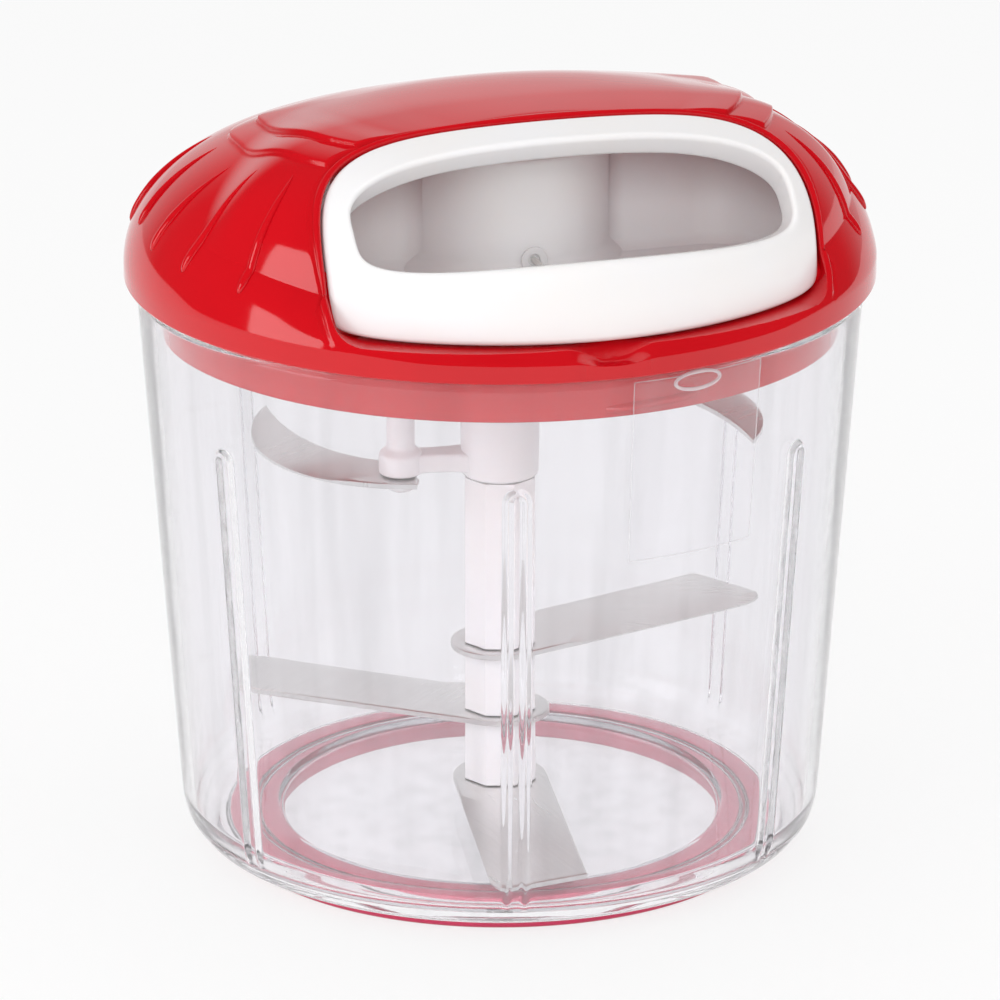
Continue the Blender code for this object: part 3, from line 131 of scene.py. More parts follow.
class Finish:
    """The nodes of one material."""

    def __init__(self, name):
        self.owner = bpy.data.materials.new(name)
        self.owner.use_nodes = True
        self.tree = self.owner.node_tree
        self.tree.nodes.clear()
        self.output = self.tree.nodes.new("ShaderNodeOutputMaterial")

    def node(self, kind, settings=None, sockets=None, output=0):
        made = self.tree.nodes.new(kind)
        for name, value in (settings or {}).items():
            setattr(made, name, value)
        for name, value in (sockets or {}).items():
            if isinstance(value, Wire):
                self.tree.links.new(value.socket, made.inputs[name])
            else:
                made.inputs[name].default_value = value
        return Wire(self, made.outputs[output])

    def coords(self, output="Object"):
        return self.node("ShaderNodeTexCoord", output=output)

    def axes(self, vector):
        parts = self.node("ShaderNodeSeparateXYZ", sockets={0: vector}).socket.node
        return [Wire(self, parts.outputs[index]) for index in range(3)]

    def ray(self, kind):
        """One output of the Light Path node, such as Is Camera Ray."""
        return self.node("ShaderNodeLightPath", output=kind)

    def noise(self, vector, scale, detail=2.0, roughness=0.5):
        sockets = {"Vector": vector, "Scale": scale, "Detail": detail, "Roughness": roughness}
        return self.node("ShaderNodeTexNoise", sockets=sockets)

    def stretched(self, vector, scale):
        settings = {"operation": "MULTIPLY"}
        return self.node("ShaderNodeVectorMath", settings, {0: vector, 1: scale})

    def blended(self, share, low, high):
        """Mix two numbers or wires of numbers."""
        return self.node("ShaderNodeMix", sockets={0: share, 2: low, 3: high})

    def mixed(self, share, low, high):
        """Mix two colours; either may be a plain colour."""
        sockets = {0: share, 6: colour(low), 7: colour(high)}
        return self.node("ShaderNodeMix", {"data_type": "RGBA"}, sockets, output=2)

    def bump(self, height, distance, strength=1.0):
        sockets = {"Height": height, "Distance": distance, "Strength": strength}
        return self.node("ShaderNodeBump", sockets=sockets)

    def surface(self, sockets):
        shader = self.node("ShaderNodeBsdfPrincipled", sockets=sockets)
        return self.show(shader)

    def show(self, shader):
        self.tree.links.new(shader.socket, self.output.inputs["Surface"])
        return self.owner


class StudioSky(Finish):
    """The nodes of the world."""

    def __init__(self):
        self.owner = bpy.data.worlds.new("studio")
        bpy.context.scene.world = self.owner
        self.owner.use_nodes = True
        self.tree = self.owner.node_tree
        self.tree.nodes.clear()
        self.output = self.tree.nodes.new("ShaderNodeOutputWorld")


def colour(value):
    """A wire stays as it is; a plain colour gets its alpha."""
    if isinstance(value, Wire):
        return value
    return (*value, 1.0)


# Mesh helpers


def smooth(value, start, end):
    """Ease from 0 at start to 1 at end."""
    share = np.clip((value - start) / (end - start), 0.0, 1.0)
    return share * share * (3.0 - 2.0 * share)


def mesh_from_grid(name, grid, close_rows=False, close_columns=True):
    """Object from a grid of points, one row after another, joined by quads."""
    grid = np.asarray(grid, dtype=float)
    rows, columns = grid.shape[:2]
    numbers = np.arange(rows * columns).reshape(rows, columns)
    if close_rows:
        numbers = np.vstack([numbers, numbers[:1]])
    if close_columns:
        numbers = np.hstack([numbers, numbers[:, :1]])
    low, high = numbers[:-1], numbers[1:]
    quads = np.stack([low[:, :-1], low[:, 1:], high[:, 1:], high[:, :-1]], axis=-1).reshape(-1, 4)
    return mesh_from_faces(name, grid.reshape(-1, 3), quads)


def mesh_from_faces(name, points, quads):
    """Smooth-shaded object from points and quads; points that coincide are joined."""
    mesh = bpy.data.meshes.new(name)
    mesh.vertices.add(len(points))
    mesh.vertices.foreach_set("co", np.asarray(points, dtype=np.float32).ravel())
    mesh.loops.add(quads.size)
    mesh.loops.foreach_set("vertex_index", quads.ravel().astype(np.int32))
    mesh.polygons.add(len(quads))
    mesh.polygons.foreach_set("loop_start", np.arange(0, quads.size, 4, dtype=np.int32))
    mesh.update(calc_edges=True)
    mesh.validate()
    clean = bmesh.new()
    clean.from_mesh(mesh)
    bmesh.ops.remove_doubles(clean, verts=clean.verts, dist=0.0000005)
    bmesh.ops.recalc_face_normals(clean, faces=clean.faces)
    clean.to_mesh(mesh)
    clean.free()
    mesh.shade_smooth()
    item = bpy.data.objects.new(name, mesh)
    bpy.context.collection.objects.link(item)
    return item


def place(item, body, nodes, finish, slot):
    """Give a piece its body, the nodes that it stands for and its finish; slot is not used."""
    item.data.materials.clear()
    item.data.materials.append(finish)
    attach(item, body)
    if nodes:
        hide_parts(*nodes)
    return item


def rounded(profile, radius, steps=5, closed=True):
    """Replace each corner of a profile by a smooth bend."""
    points = [np.array(point, dtype=float) for point in profile]
    count = len(points)
    result = []
    for index in range(count):
        here = points[index]
        if not closed and index in (0, count - 1):
            result.append(here)
            continue
        before, after = points[index - 1], points[(index + 1) % count]
        back, ahead = before - here, after - here
        reach = min(radius, np.linalg.norm(back) * 0.45, np.linalg.norm(ahead) * 0.45)
        start = here + back / np.linalg.norm(back) * reach
        end = here + ahead / np.linalg.norm(ahead) * reach
        for step in range(steps + 1):
            t = step / steps
            result.append((1 - t) ** 2 * start + 2 * t * (1 - t) * here + t ** 2 * end)
    return result


def lathe(name, profile, radius=0.0004, segments=144, centre=(0.0, 0.0), closed=True):
    """Turned piece with softened corners about an upright axis."""
    line = np.array(rounded(profile, radius, closed=closed))
    turn = np.linspace(0.0, math.tau, segments, endpoint=False)
    grid = np.empty((len(line), segments, 3))
    grid[..., 0] = centre[0] + line[:, :1] * np.cos(turn)
    grid[..., 1] = centre[1] + line[:, :1] * np.sin(turn)
    grid[..., 2] = line[:, 1:]
    return mesh_from_grid(name, grid, close_rows=closed)


def soften(names, width=0.0003):
    """Round the edges of CAD nodes that stay as they are."""
    for name in names:
        bevel = NODES[name].modifiers.new("soft_edges", "BEVEL")
        bevel.width = width
        bevel.segments = 2
        bevel.limit_method = "ANGLE"
        bevel.angle_limit = math.radians(30)


def finish_node(names, finish):
    """Give CAD nodes that stay as they are their finish."""
    for name in names:
        NODES[name].data.materials.clear()
        NODES[name].data.materials.append(finish)


def sweep(name, centres, radius, sides=12):
    """Round tube along points; its ends are closed by shrinking rings."""
    centres = np.asarray(centres, dtype=float)
    along = np.gradient(centres, axis=0)
    along /= np.linalg.norm(along, axis=1)[:, None]
    side = np.cross(along, (0.0, 0.0, 1.0))
    side /= np.linalg.norm(side, axis=1)[:, None]
    up = np.cross(side, along)
    turn = np.linspace(0.0, math.tau, sides, endpoint=False)
    ring = np.cos(turn)[None, :, None] * side[:, None] + np.sin(turn)[None, :, None] * up[:, None]
    grid = centres[:, None] + ring * radius
    first = np.repeat(centres[:1, None], sides, axis=1)
    last = np.repeat(centres[-1:, None], sides, axis=1)
    return mesh_from_grid(name, np.vstack([first, grid, last]))


# Materials


def glossy_red(name, shade):
    """Polished moulded plastic: a faint cloud in the colour, hair scratches and a lacquer-like gloss."""
    f = Finish(name)
    spot = f.coords()
    cloud = f.noise(spot, 22.0, 3.0).between(0.35, 0.65)
    deep = tuple(value * 0.90 for value in shade)
    fine = f.noise(f.stretched(spot, (1.0, 6.0, 1.0)), 900.0, 2.0)
    rough = cloud * 0.025 + 0.055
    return f.surface({
        "Base Color": f.mixed(cloud, deep, shade),
        "Roughness": rough + fine.between(0.62, 0.75) * 0.015,
        "IOR": 1.5,
        "Specular IOR Level": 0.5,
        "Normal": f.bump(f.noise(spot, 45.0, 1.0), 0.00002, 0.3),
    })


def white_plastic(name, shade, roughness=0.22):
    """Moulded white plastic: very fine grain, slightly warmer in broad patches."""
    f = Finish(name)
    spot = f.coords()
    patch = f.noise(spot, 30.0, 2.0).between(0.3, 0.7)
    warm = (shade[0], shade[1] * 0.985, shade[2] * 0.965)
    grain = f.noise(spot, 2600.0, 2.0)
    return f.surface({
        "Base Color": f.mixed(patch, shade, warm),
        "Roughness": patch * 0.05 + roughness,
        "IOR": 1.49,
        "Subsurface Weight": 0.08,
        "Subsurface Radius": (0.004, 0.0035, 0.003),
        "Subsurface Scale": 0.4,
        "Normal": f.bump(grain, 0.00002, 0.25),
    })


MOST_TURNS = 5.5


def clear_plastic(name, tint):
    """Clear moulded plastic with upright flow streaks, darkened in the tint as painted grey reflections; light
    caught in a wall gets out after a few turns.
    """
    f = Finish(name)
    spot = f.coords()
    flow = f.noise(f.stretched(spot, (1.0, 1.0, 0.04)), 150.0, 3.0)
    # Painted reflection: the streaks darken the tint to 92 % as grey wavy reflections; the bump and roughness
    # along them are the plastic's own.
    reflection_streak = flow.between(0.42, 0.72)
    reflection_grey = tuple(value * 0.92 for value in tint)
    bent = f.node("ShaderNodeBsdfPrincipled", sockets={
        "Base Color": f.mixed(reflection_streak, tint, reflection_grey),
        "Roughness": reflection_streak * 0.012 + 0.004,
        "IOR": 1.36,
        "Transmission Weight": 0.955,
        "Normal": f.bump(flow, 0.00004, 0.25),
    })
    straight = f.node("ShaderNodeBsdfTransparent", sockets={"Color": (0.955, 0.952, 0.965, 1.0)})
    depth = f.ray("Ray Depth")
    early = depth.math("LESS_THAN", depth, MOST_TURNS)
    share = (1.0 - f.ray("Is Shadow Ray")) * early
    return f.show(f.node("ShaderNodeMixShader", sockets={0: share, 1: straight, 2: bent}))


def film_plastic(name, haze=0.10):
    """Thin clear skin that hardly bends the light: a touch of haze and a gloss."""
    f = Finish(name)
    spot = f.coords()
    smear = f.noise(f.stretched(spot, (1.0, 1.0, 0.3)), 120.0, 3.0).between(0.35, 0.75)
    gloss = f.node("ShaderNodeBsdfPrincipled", sockets={
        "Base Color": (0.93, 0.92, 0.94, 1.0),
        "Roughness": smear * 0.08 + 0.06,
        "Normal": f.bump(smear, 0.00005, 0.2),
    })
    clear = f.node("ShaderNodeBsdfTransparent", sockets={"Color": (0.985, 0.984, 0.99, 1.0)})
    edge = f.node("ShaderNodeLayerWeight", sockets={"Blend": 0.25}, output=1)
    share = (edge * 0.5 + smear * 0.04 + haze).clamped()
    return f.show(f.node("ShaderNodeMixShader", sockets={0: share, 1: clear, 2: gloss}))


def rubber(name, shade):
    """Soft ring: matt, with a fine pebble and dusty patches."""
    f = Finish(name)
    spot = f.coords()
    dust = f.noise(spot, 90.0, 3.0).between(0.45, 0.75)
    pale = tuple(min(1.0, value * 1.15 + 0.01) for value in shade)
    return f.surface({
        "Base Color": f.mixed(dust * 0.5, shade, pale),
        "Roughness": dust * 0.12 + 0.42,
        "Normal": f.bump(f.noise(spot, 1500.0, 2.0), 0.00006, 0.4),
    })


def brushed_steel(name, angle_deg=0.0, roughness=0.26):
    """Ground strip steel: fine lines along one direction and softly varied sheen."""
    f = Finish(name)
    turn = {"Rotation": (0.0, 0.0, math.radians(angle_deg))}
    spot = f.node("ShaderNodeMapping", sockets={"Vector": f.coords(), **turn})
    lines = f.noise(f.stretched(spot, (22.0, 2400.0, 300.0)), 1.0, 3.0, 0.6)
    cloud = f.noise(spot, 45.0, 2.0).between(0.3, 0.7)
    return f.surface({
        "Base Color": f.mixed(lines.between(0.2, 0.8), (0.70, 0.69, 0.68), (0.78, 0.77, 0.76)),
        "Metallic": 1.0,
        "Roughness": lines.between(0.3, 0.7) * 0.06 + cloud * 0.08 + roughness,
        "Normal": f.bump(lines, 0.000006, 0.3),
    })


def turned_steel(name, roughness=0.22):
    """Small turned or punched steel parts: fine rings about the upright axis."""
    f = Finish(name)
    spot = f.coords()
    rings = f.noise(f.stretched(spot, (30.0, 30.0, 2500.0)), 1.0, 2.0)
    stain = f.noise(spot, 160.0, 3.0).between(0.5, 0.8)
    return f.surface({
        "Base Color": f.mixed(stain, (0.66, 0.65, 0.64), (0.52, 0.50, 0.47)),
        "Metallic": 1.0,
        "Roughness": rings.between(0.3, 0.7) * 0.10 + stain * 0.10 + roughness,
        "Normal": f.bump(rings, 0.00002, 0.3),
    })


def grey_plastic(name, shade=(0.20, 0.21, 0.23)):
    """Hidden moulded parts: satin grey with a fine spark-eroded grain."""
    f = Finish(name)
    spot = f.coords()
    patch = f.noise(spot, 70.0, 3.0).between(0.35, 0.7)
    pale = tuple(value * 1.18 for value in shade)
    return f.surface({
        "Base Color": f.mixed(patch, shade, pale),
        "Roughness": patch * 0.12 + 0.38,
        "Normal": f.bump(f.noise(spot, 1800.0, 2.0), 0.00005, 0.4),
    })


STRAND_RATE = 5200.0
COIL_STRAND_RATE = 82.0


def braided_cord(name, coiled):
    """Braided cord: two sets of strands that cross, with slight soiling; straight along y, or coiled."""
    f = Finish(name)
    spot = f.coords()
    x, y, z = f.axes(spot)
    step = y.math("ARCTAN2", y, x) * COIL_STRAND_RATE if coiled else y * STRAND_RATE
    one = (step + (z if coiled else x) * STRAND_RATE).sine()
    two = (step - z * STRAND_RATE).sine()
    weave = (one * two).between(-0.8, 0.8)
    soil = f.noise(spot, 300.0, 3.0).between(0.4, 0.8)
    return f.surface({
        "Base Color": f.mixed(soil, (0.80, 0.80, 0.77), (0.66, 0.65, 0.60)),
        "Roughness": weave * -0.15 + 0.85,
        "Sheen Weight": 0.3,
        "Normal": f.bump(weave, 0.00008, 0.8),
    })


# Sizes and colours that a user may change


class ChopperColours(bpy.types.PropertyGroup):
    lid: bpy.props.FloatVectorProperty(
        name="Lid",
        description="Red of the glossy lid",
        subtype="COLOR",
        default=(0.60, 0.0025, 0.008),
    )
    handle: bpy.props.FloatVectorProperty(
        name="Handle",
        description="White of the pull handle and housing",
        subtype="COLOR",
        default=(0.86, 0.85, 0.86),
    )
    ring: bpy.props.FloatVectorProperty(
        name="Base ring",
        description="Red of the non-slip ring",
        subtype="COLOR",
        default=(0.56, 0.035, 0.10),
    )


class ChopperSizes(bpy.types.PropertyGroup):
    bead_height: bpy.props.FloatProperty(
        name="Opening rim",
        description="How far the rim round the handle's opening stands up",
        default=0.0009,
        min=0.0,
        max=0.0015,
        precision=4,
        subtype="DISTANCE",
        unit="LENGTH",
    )
    ridge_height: bpy.props.FloatProperty(
        name="Grip ridges",
        description="Height of the finger ridges on both flanks of the lid",
        default=0.0008,
        min=0.0,
        max=0.0015,
        precision=4,
        subtype="DISTANCE",
        unit="LENGTH",
    )
    terrace_lift: bpy.props.FloatProperty(
        name="Cap steps",
        description="Height of the two soft steps along each flank of the lid",
        default=0.0011,
        min=0.0,
        max=0.0015,
        precision=4,
        subtype="DISTANCE",
        unit="LENGTH",
    )
    scoop_width: bpy.props.FloatProperty(
        name="Thumb scoop width",
        description="Width of the scoop in the ledge below the handle",
        default=0.0200,
        min=0.010,
        max=0.030,
        precision=4,
        subtype="DISTANCE",
        unit="LENGTH",
    )
    scoop_depth: bpy.props.FloatProperty(
        name="Thumb scoop depth",
        description="Depth of the scoop in the ledge below the handle",
        default=0.0027,
        min=0.0,
        max=0.0028,
        precision=4,
        subtype="DISTANCE",
        unit="LENGTH",
    )
    rib_stand: bpy.props.FloatProperty(
        name="Bowl ribs",
        description="How far the twin ribs stand out of the bowl",
        default=0.0009,
        min=0.0,
        max=0.0012,
        precision=4,
        subtype="DISTANCE",
        unit="LENGTH",
    )


def sizes():
    """The sizes as they stand in the panel."""
    return bpy.context.scene.chopper_sizes


def tints():
    """The colours as they stand in the panel."""
    return bpy.context.scene.chopper_colours


# Bowl


RIB_ANGLES = (-14.8, 37.2, -66.8, 117.2, -146.8, 165.2)
RIB_BOTTOM_Z = 0.0083
RIB_TOP_Z = RIM_Z - 0.0230
RIB_HALF_PITCH = 0.0019
RIB_HALF_WIDTH = 0.0014
BOWL_WALL = 0.0020
BOWL_SLOPE = (BOWL_RIM_R - BOWL_BEND_R) / (RIM_Z - BOWL_BEND_Z)
FILM_FROM_DEG = 3.2
FILM_TO_DEG = 26.3
FILM_MIDDLE_DEG = (FILM_TO_DEG + FILM_FROM_DEG) / 2
FILM_TOP_Z = RIM_Z - 0.0012
FILM_BOTTOM_Z = 0.0862
FILM_MIDDLE_Z = (FILM_TOP_Z + FILM_BOTTOM_Z) / 2
FILM_STAND = 0.00022
FILM_DEGREE_LENGTH = 0.00132
FILM_EDGE_R = 0.00011
OVAL_DEG = 14.1
OVAL_Z = RIM_Z - 0.0027
OVAL_HALF_LENGTH = 0.0054
OVAL_HALF_HEIGHT = 0.0019
OVAL_RIM_R = 0.00042


def bowl_relief(turn_deg, height, radius):
    """How far the twin ribs stand out of the bowl wall."""
    relief = np.zeros(np.broadcast(turn_deg, height).shape)
    for angle in RIB_ANGLES:
        sideways = np.abs((turn_deg - angle + 180.0) % 360.0 - 180.0) * math.pi / 180.0 * radius
        crown = RIB_TOP_Z - RIB_HALF_PITCH - RIB_HALF_WIDTH
        above = np.maximum(height - crown, 0.0)
        off = np.abs(np.hypot(sideways, above) - RIB_HALF_PITCH)
        ridge = 0.5 + 0.5 * np.cos(math.pi * np.minimum(1.0, off / RIB_HALF_WIDTH))
        foot = smooth(height, RIB_BOTTOM_Z - 0.0010, RIB_BOTTOM_Z + 0.0050)
        relief = np.maximum(relief, sizes().rib_stand * ridge * foot)
    return relief


def bowl_turns():
    """Directions of the bowl's columns in degrees from -Y, closer together at the ribs."""
    turns = [np.arange(-180.0, 180.0, 1.25)]
    for angle in RIB_ANGLES:
        turns.append(np.arange(-2.7, 2.71, 0.11) + (angle + 180.0) % 360.0 - 180.0)
    joined = np.unique(np.round(np.concatenate(turns), 3))
    return joined[np.concatenate([[True], np.diff(joined) > 0.05])]


def bowl_profile():
    """Half section of the bowl: from the middle of its underside, over the rim, to the middle inside."""
    key_in, key_out = RING_INNER_R + 0.0047, RING_INNER_R + 0.0059
    lip_in = RING_OUTER_R + 0.0003
    under = [
        (0.0, 0.0040), (RING_INNER_R - 0.0003, 0.0040), (RING_INNER_R - 0.0003, FLOOR_UNDER_Z),
        (key_in, FLOOR_UNDER_Z), (key_in, 0.0030), (key_out, 0.0030), (key_out, FLOOR_UNDER_Z),
        (lip_in, FLOOR_UNDER_Z), (lip_in, 0.0019), (lip_in + 0.0016, 0.0019),
        (BOWL_BEND_R - 0.0034, 0.0041), (BOWL_BEND_R - 0.0010, 0.0072), (BOWL_BEND_R, BOWL_BEND_Z),
    ]
    inside = [
        (BOWL_RIM_R - 0.0002, RIM_Z), (BOWL_RIM_R - BOWL_WALL, RIM_Z),
        (BOWL_BEND_R - BOWL_WALL, BOWL_BEND_Z + 0.0006), (BOWL_BEND_R - 0.0040, FLOOR_TOP_Z + 0.0008),
        (BOWL_BEND_R - 0.0070, FLOOR_TOP_Z), (RING_INNER_R + 0.0006, FLOOR_TOP_Z),
        (RING_INNER_R - 0.0006, FLOOR_TOP_Z - 0.0009), (0.0066, FLOOR_TOP_Z - 0.0009),
        (0.0050, FLOOR_TOP_Z + 0.0003), (0.0050, FLOOR_TOP_Z + 0.0018), (0.0, FLOOR_TOP_Z + 0.0018),
    ]
    return np.array(rounded(under + inside, 0.0011, steps=6, closed=False))


def wall_heights():
    """Heights of the rows up the outer wall, closest together at the ribs' round ends."""
    heights = np.concatenate([
        np.arange(BOWL_BEND_Z + 0.0012, RIB_TOP_Z - 0.0045, 0.0015),
        np.arange(RIB_TOP_Z - 0.0045, RIB_TOP_Z + 0.0006, 0.00025),
        np.arange(RIB_TOP_Z + 0.0012, RIM_Z - 0.0006, 0.0015),
    ])
    return np.unique(np.round(heights, 6))


def make_bowl():
    """Clear bowl with twin ribs on its wall, then the film and the mark."""
    line = bowl_profile()
    heights = wall_heights()
    outer = np.stack([BOWL_BEND_R + BOWL_SLOPE * (heights - BOWL_BEND_Z), heights], axis=1)
    # The long step up at the bend's radius is the outer wall; its rows go in there.
    climbs = (line[:-1, 0] > BOWL_BEND_R - 0.003) * (np.diff(line[:, 1]) > 0.05)
    bend = np.argmax(np.linalg.norm(np.diff(line, axis=0), axis=1) * climbs)
    line = np.vstack([line[:bend + 1], outer, line[bend + 1:]])
    turns = bowl_turns()
    radius, height = line[:, :1], line[:, 1:]
    on_wall = (np.arange(len(line)) <= bend + len(outer))[:, None] & (height > 0.006)
    reach = radius + np.where(on_wall, bowl_relief(turns[None], height, radius), 0.0)
    angle = np.radians(turns)[None]
    grid = np.stack([reach * np.sin(angle), -reach * np.cos(angle), height + 0.0 * angle], axis=-1)
    bowl = mesh_from_grid("bowl_clear", grid)
    place(bowl, "bowl", ["bowl_shell"], clear_plastic("clear_bowl", (0.93, 0.925, 0.945)), "clear_plastic")
    make_film()
    make_mark()


def wall_point(turn_deg, height, stand):
    """Point off the bowl's outer wall at a direction from -Y."""
    reach = BOWL_BEND_R + BOWL_SLOPE * (height - BOWL_BEND_Z) + stand
    angle = np.radians(turn_deg)
    return np.stack([reach * np.sin(angle), -reach * np.cos(angle), height + 0.0 * angle], axis=-1)


def film_row(points, stand):
    """Points of the flat film laid on the wall."""
    turn_deg = FILM_MIDDLE_DEG + points[:, 0] / FILM_DEGREE_LENGTH
    return wall_point(turn_deg, FILM_MIDDLE_Z + points[:, 1], stand)


def make_film():
    """Thin clear sticker on the wall; its cut edge catches the light."""
    half_w = (FILM_TO_DEG - FILM_FROM_DEG) / 2 * FILM_DEGREE_LENGTH
    half_h = (FILM_TOP_Z - FILM_BOTTOM_Z) / 2
    corners = [(-half_w, -half_h), (half_w, -half_h), (half_w, half_h), (-half_w, half_h)]
    corners = np.array(rounded(corners, 0.0005, 4))
    following = np.roll(corners, -1, axis=0)
    outline = np.concatenate([
        np.linspace(start, end, 10, endpoint=False) for start, end in zip(corners, following)
    ])
    steps = ((0.0, 0.00004), (0.0, FILM_STAND), (0.0003, FILM_STAND + 0.00003), (0.0012, FILM_STAND))
    rows = [film_row(outline * (1.0 - inset / np.array([half_w, half_h])), stand) for inset, stand in steps]
    rows += [film_row(outline * (share * 0.95), FILM_STAND) for share in np.linspace(0.9, 0.0, 12)]
    film = mesh_from_grid("clear_film", rows)
    place(film, "bowl", [], film_plastic("film_finish", 0.015), "clear_plastic")
    outward = outline / np.linalg.norm(outline, axis=1)[:, None]
    rows = []
    for bend in np.linspace(0.0, math.tau, 8, endpoint=False):
        points = outline + outward * (FILM_EDGE_R * math.cos(bend))
        rows.append(film_row(points, 0.00020 + FILM_EDGE_R * math.sin(bend)))
    edge = mesh_from_grid("clear_film_edge", rows, close_rows=True)
    place(edge, "bowl", [], film_plastic("film_edge_finish", 0.22), "clear_plastic")


def make_mark():
    """Plain oval rim moulded on the wall just below the lid."""
    turn = np.linspace(0.0, math.tau, 72, endpoint=False)
    around = np.linspace(0.0, math.tau, 14, endpoint=False)
    rows = []
    for bend in around:
        x = (OVAL_HALF_LENGTH + OVAL_RIM_R * math.cos(bend)) * np.cos(turn)
        z = (OVAL_HALF_HEIGHT + OVAL_RIM_R * math.cos(bend)) * np.sin(turn)
        stand = 0.0001 + 0.00040 * math.sin(bend)
        rows.append(wall_point(OVAL_DEG + np.degrees(x / BOWL_RIM_R), OVAL_Z + z, stand))
    mark = mesh_from_grid("rim_mark", rows, close_rows=True)
    place(mark, "bowl", [], film_plastic("mark_finish", 0.30), "clear_plastic")


def make_base():
    """Non-slip ring with its groove, and the steel pin that the blade unit stands on."""
    edge = 0.0006
    profile = [
        (RING_INNER_R, edge), (RING_INNER_R + edge, 0.0), (RING_OUTER_R - edge, 0.0), (RING_OUTER_R, edge),
        (RING_OUTER_R, 0.0045), (RING_INNER_R + 0.0062, 0.0045), (RING_INNER_R + 0.0062, 0.0027),
        (RING_INNER_R + 0.0044, 0.0027), (RING_INNER_R + 0.0044, 0.0045), (RING_INNER_R, 0.0045),
    ]
    ring = lathe("non_slip_ring", profile, 0.0003, 192)
    place(ring, "bowl", ["base_ring"], rubber("ring_rubber", tuple(tints().ring)), "base_rubber")
    low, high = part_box("pivot_pin")
    pin = [(0, low.z), (high.x, low.z), (high.x, high.z - 0.0014), (high.x * 0.45, high.z), (0, high.z)]
    pin = lathe("steel_pivot", pin, 0.0005, 48, closed=False)
    place(pin, "bowl", ["pivot_pin"], turned_steel("pin_steel_finish"), "pin_steel")


# Blade unit


BLADE_REACH = 0.0650
BLADE_HALF_WIDTH = 0.0103
BLADE_TAIL = 0.0110
HEXAGON_R = 0.0050
STRAIGHT_BLADES = (
    ("low_blade", "blade_low", -9.5),
    ("middle_blade", "blade_middle", -128.5),
    ("high_blade", "blade_high", 105.5),
)
POST_R = 0.0217
POST_BORE_R = 0.0021
POSTS = (("left", -99.5), ("right", 80.5))


def heading(angle_deg, distance, sideways=0.0):
    """Plan point at an azimuth from -Y towards +X."""
    angle = math.radians(angle_deg)
    x = math.sin(angle) * distance + math.cos(angle) * sideways
    y = -math.cos(angle) * distance + math.sin(angle) * sideways
    return x, y


def blade_solid(name, outline, low_z, top_z, ground, hole, centre=(0.0, 0.0)):
    """Flat blade with a hole; ground gives each outline point's share of the cutting bevel."""
    mesh = bpy.data.meshes.new(name)
    bm = bmesh.new()
    count = len(outline)
    inward = []
    for index in range(count):
        before, here, after = (Vector(outline[(index + step) % count]) for step in (-1, 0, 1))
        along = (after - before).normalized()
        inward.append(here + Vector((-along.y, along.x)) * (0.00035 + 0.0042 * ground[index]))
    sign = sum(a[0] * b[1] - a[1] * b[0] for a, b in zip(outline, outline[1:] + outline[:1]))
    if sign < 0:
        inward = [Vector(point) * 2 - inner for point, inner in zip(outline, inward)]
    edge_top = [top_z - (top_z - low_z) * (0.12 + 0.63 * share) for share in ground]
    rims = [
        [bm.verts.new((*inner, top_z)) for inner in inward],
        [bm.verts.new((*point, z)) for point, z in zip(outline, edge_top)],
        [bm.verts.new((*point, low_z + 0.00012)) for point in outline],
        [bm.verts.new((*(Vector(point) * 0.7 + inner * 0.3 if share < 0.1 else Vector(point)), low_z))
         for point, inner, share in zip(outline, inward, ground)],
    ]
    bore = [[bm.verts.new((centre[0] + x, centre[1] + y, z)) for x, y in hole] for z in (top_z, low_z)]
    for upper, lower in zip(rims, rims[1:]):
        for index in range(count):
            after = (index + 1) % count
            bm.faces.new((upper[index], upper[after], lower[after], lower[index]))
    for index in range(len(hole)):
        after = (index + 1) % len(hole)
        bm.faces.new((bore[0][index], bore[0][after], bore[1][after], bore[1][index]))
    for rim, ring in ((rims[0], bore[0]), (rims[-1], bore[1])):
        edges = [bm.edges.get((rim[i], rim[(i + 1) % count])) for i in range(count)]
        edges += [bm.edges.get((ring[i], ring[(i + 1) % len(ring)])) for i in range(len(ring))]
        bmesh.ops.triangle_fill(bm, edges=edges, use_beauty=True, use_dissolve=False)
    bmesh.ops.recalc_face_normals(bm, faces=bm.faces)
    bm.to_mesh(mesh)
    bm.free()
    mesh.shade_smooth()
    mesh.set_sharp_from_angle(angle=math.radians(14))
    item = bpy.data.objects.new(name, mesh)
    bpy.context.collection.objects.link(item)
    return item


def circle(radius, sides):
    """Corners of a regular polygon, the first on +X."""
    turns = [math.tau * k / sides for k in range(sides)]
    return [(radius * math.cos(turn), radius * math.sin(turn)) for turn in turns]


def straight_blade(name, node, angle_deg):
    """Single wing with a ground leading edge, a slanted tip and a rounded tail."""
    low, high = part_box(node)
    half, reach = BLADE_HALF_WIDTH, BLADE_REACH
    local = [(reach - 0.0055 - 0.0535 * k / 10, -half, 1.0 if k < 9 else 0.0) for k in range(10, -1, -1)]
    local += [
        (reach - 0.0030, -half * 0.93, 0.7), (reach - 0.0012, -half * 0.83, 0.4),
        (reach - 0.0005, -half * 0.68, 0.15),
    ]
    local += [(reach - 0.0005 - 0.0055 * k / 4, half * (-0.68 + 1.68 * k / 4), 0.0) for k in range(1, 4)]
    local += [(reach - 0.0060 - 0.0015 * k, half, 0.0) for k in range(0, 2)]
    tail = np.linspace(0.0, math.pi, 15)
    local += [(-BLADE_TAIL * math.sin(turn), half * math.cos(turn), 0.0) for turn in tail]
    outline = [heading(angle_deg, along, across) for along, across, _ in local]
    ground = [share for _, _, share in local]
    blade = blade_solid(name, outline, low.z, high.z, ground, circle(HEXAGON_R, 6))
    finish = brushed_steel(name + "_steel", angle_deg - 90.0)
    place(blade, "blades", [node], finish, "blade_steel")


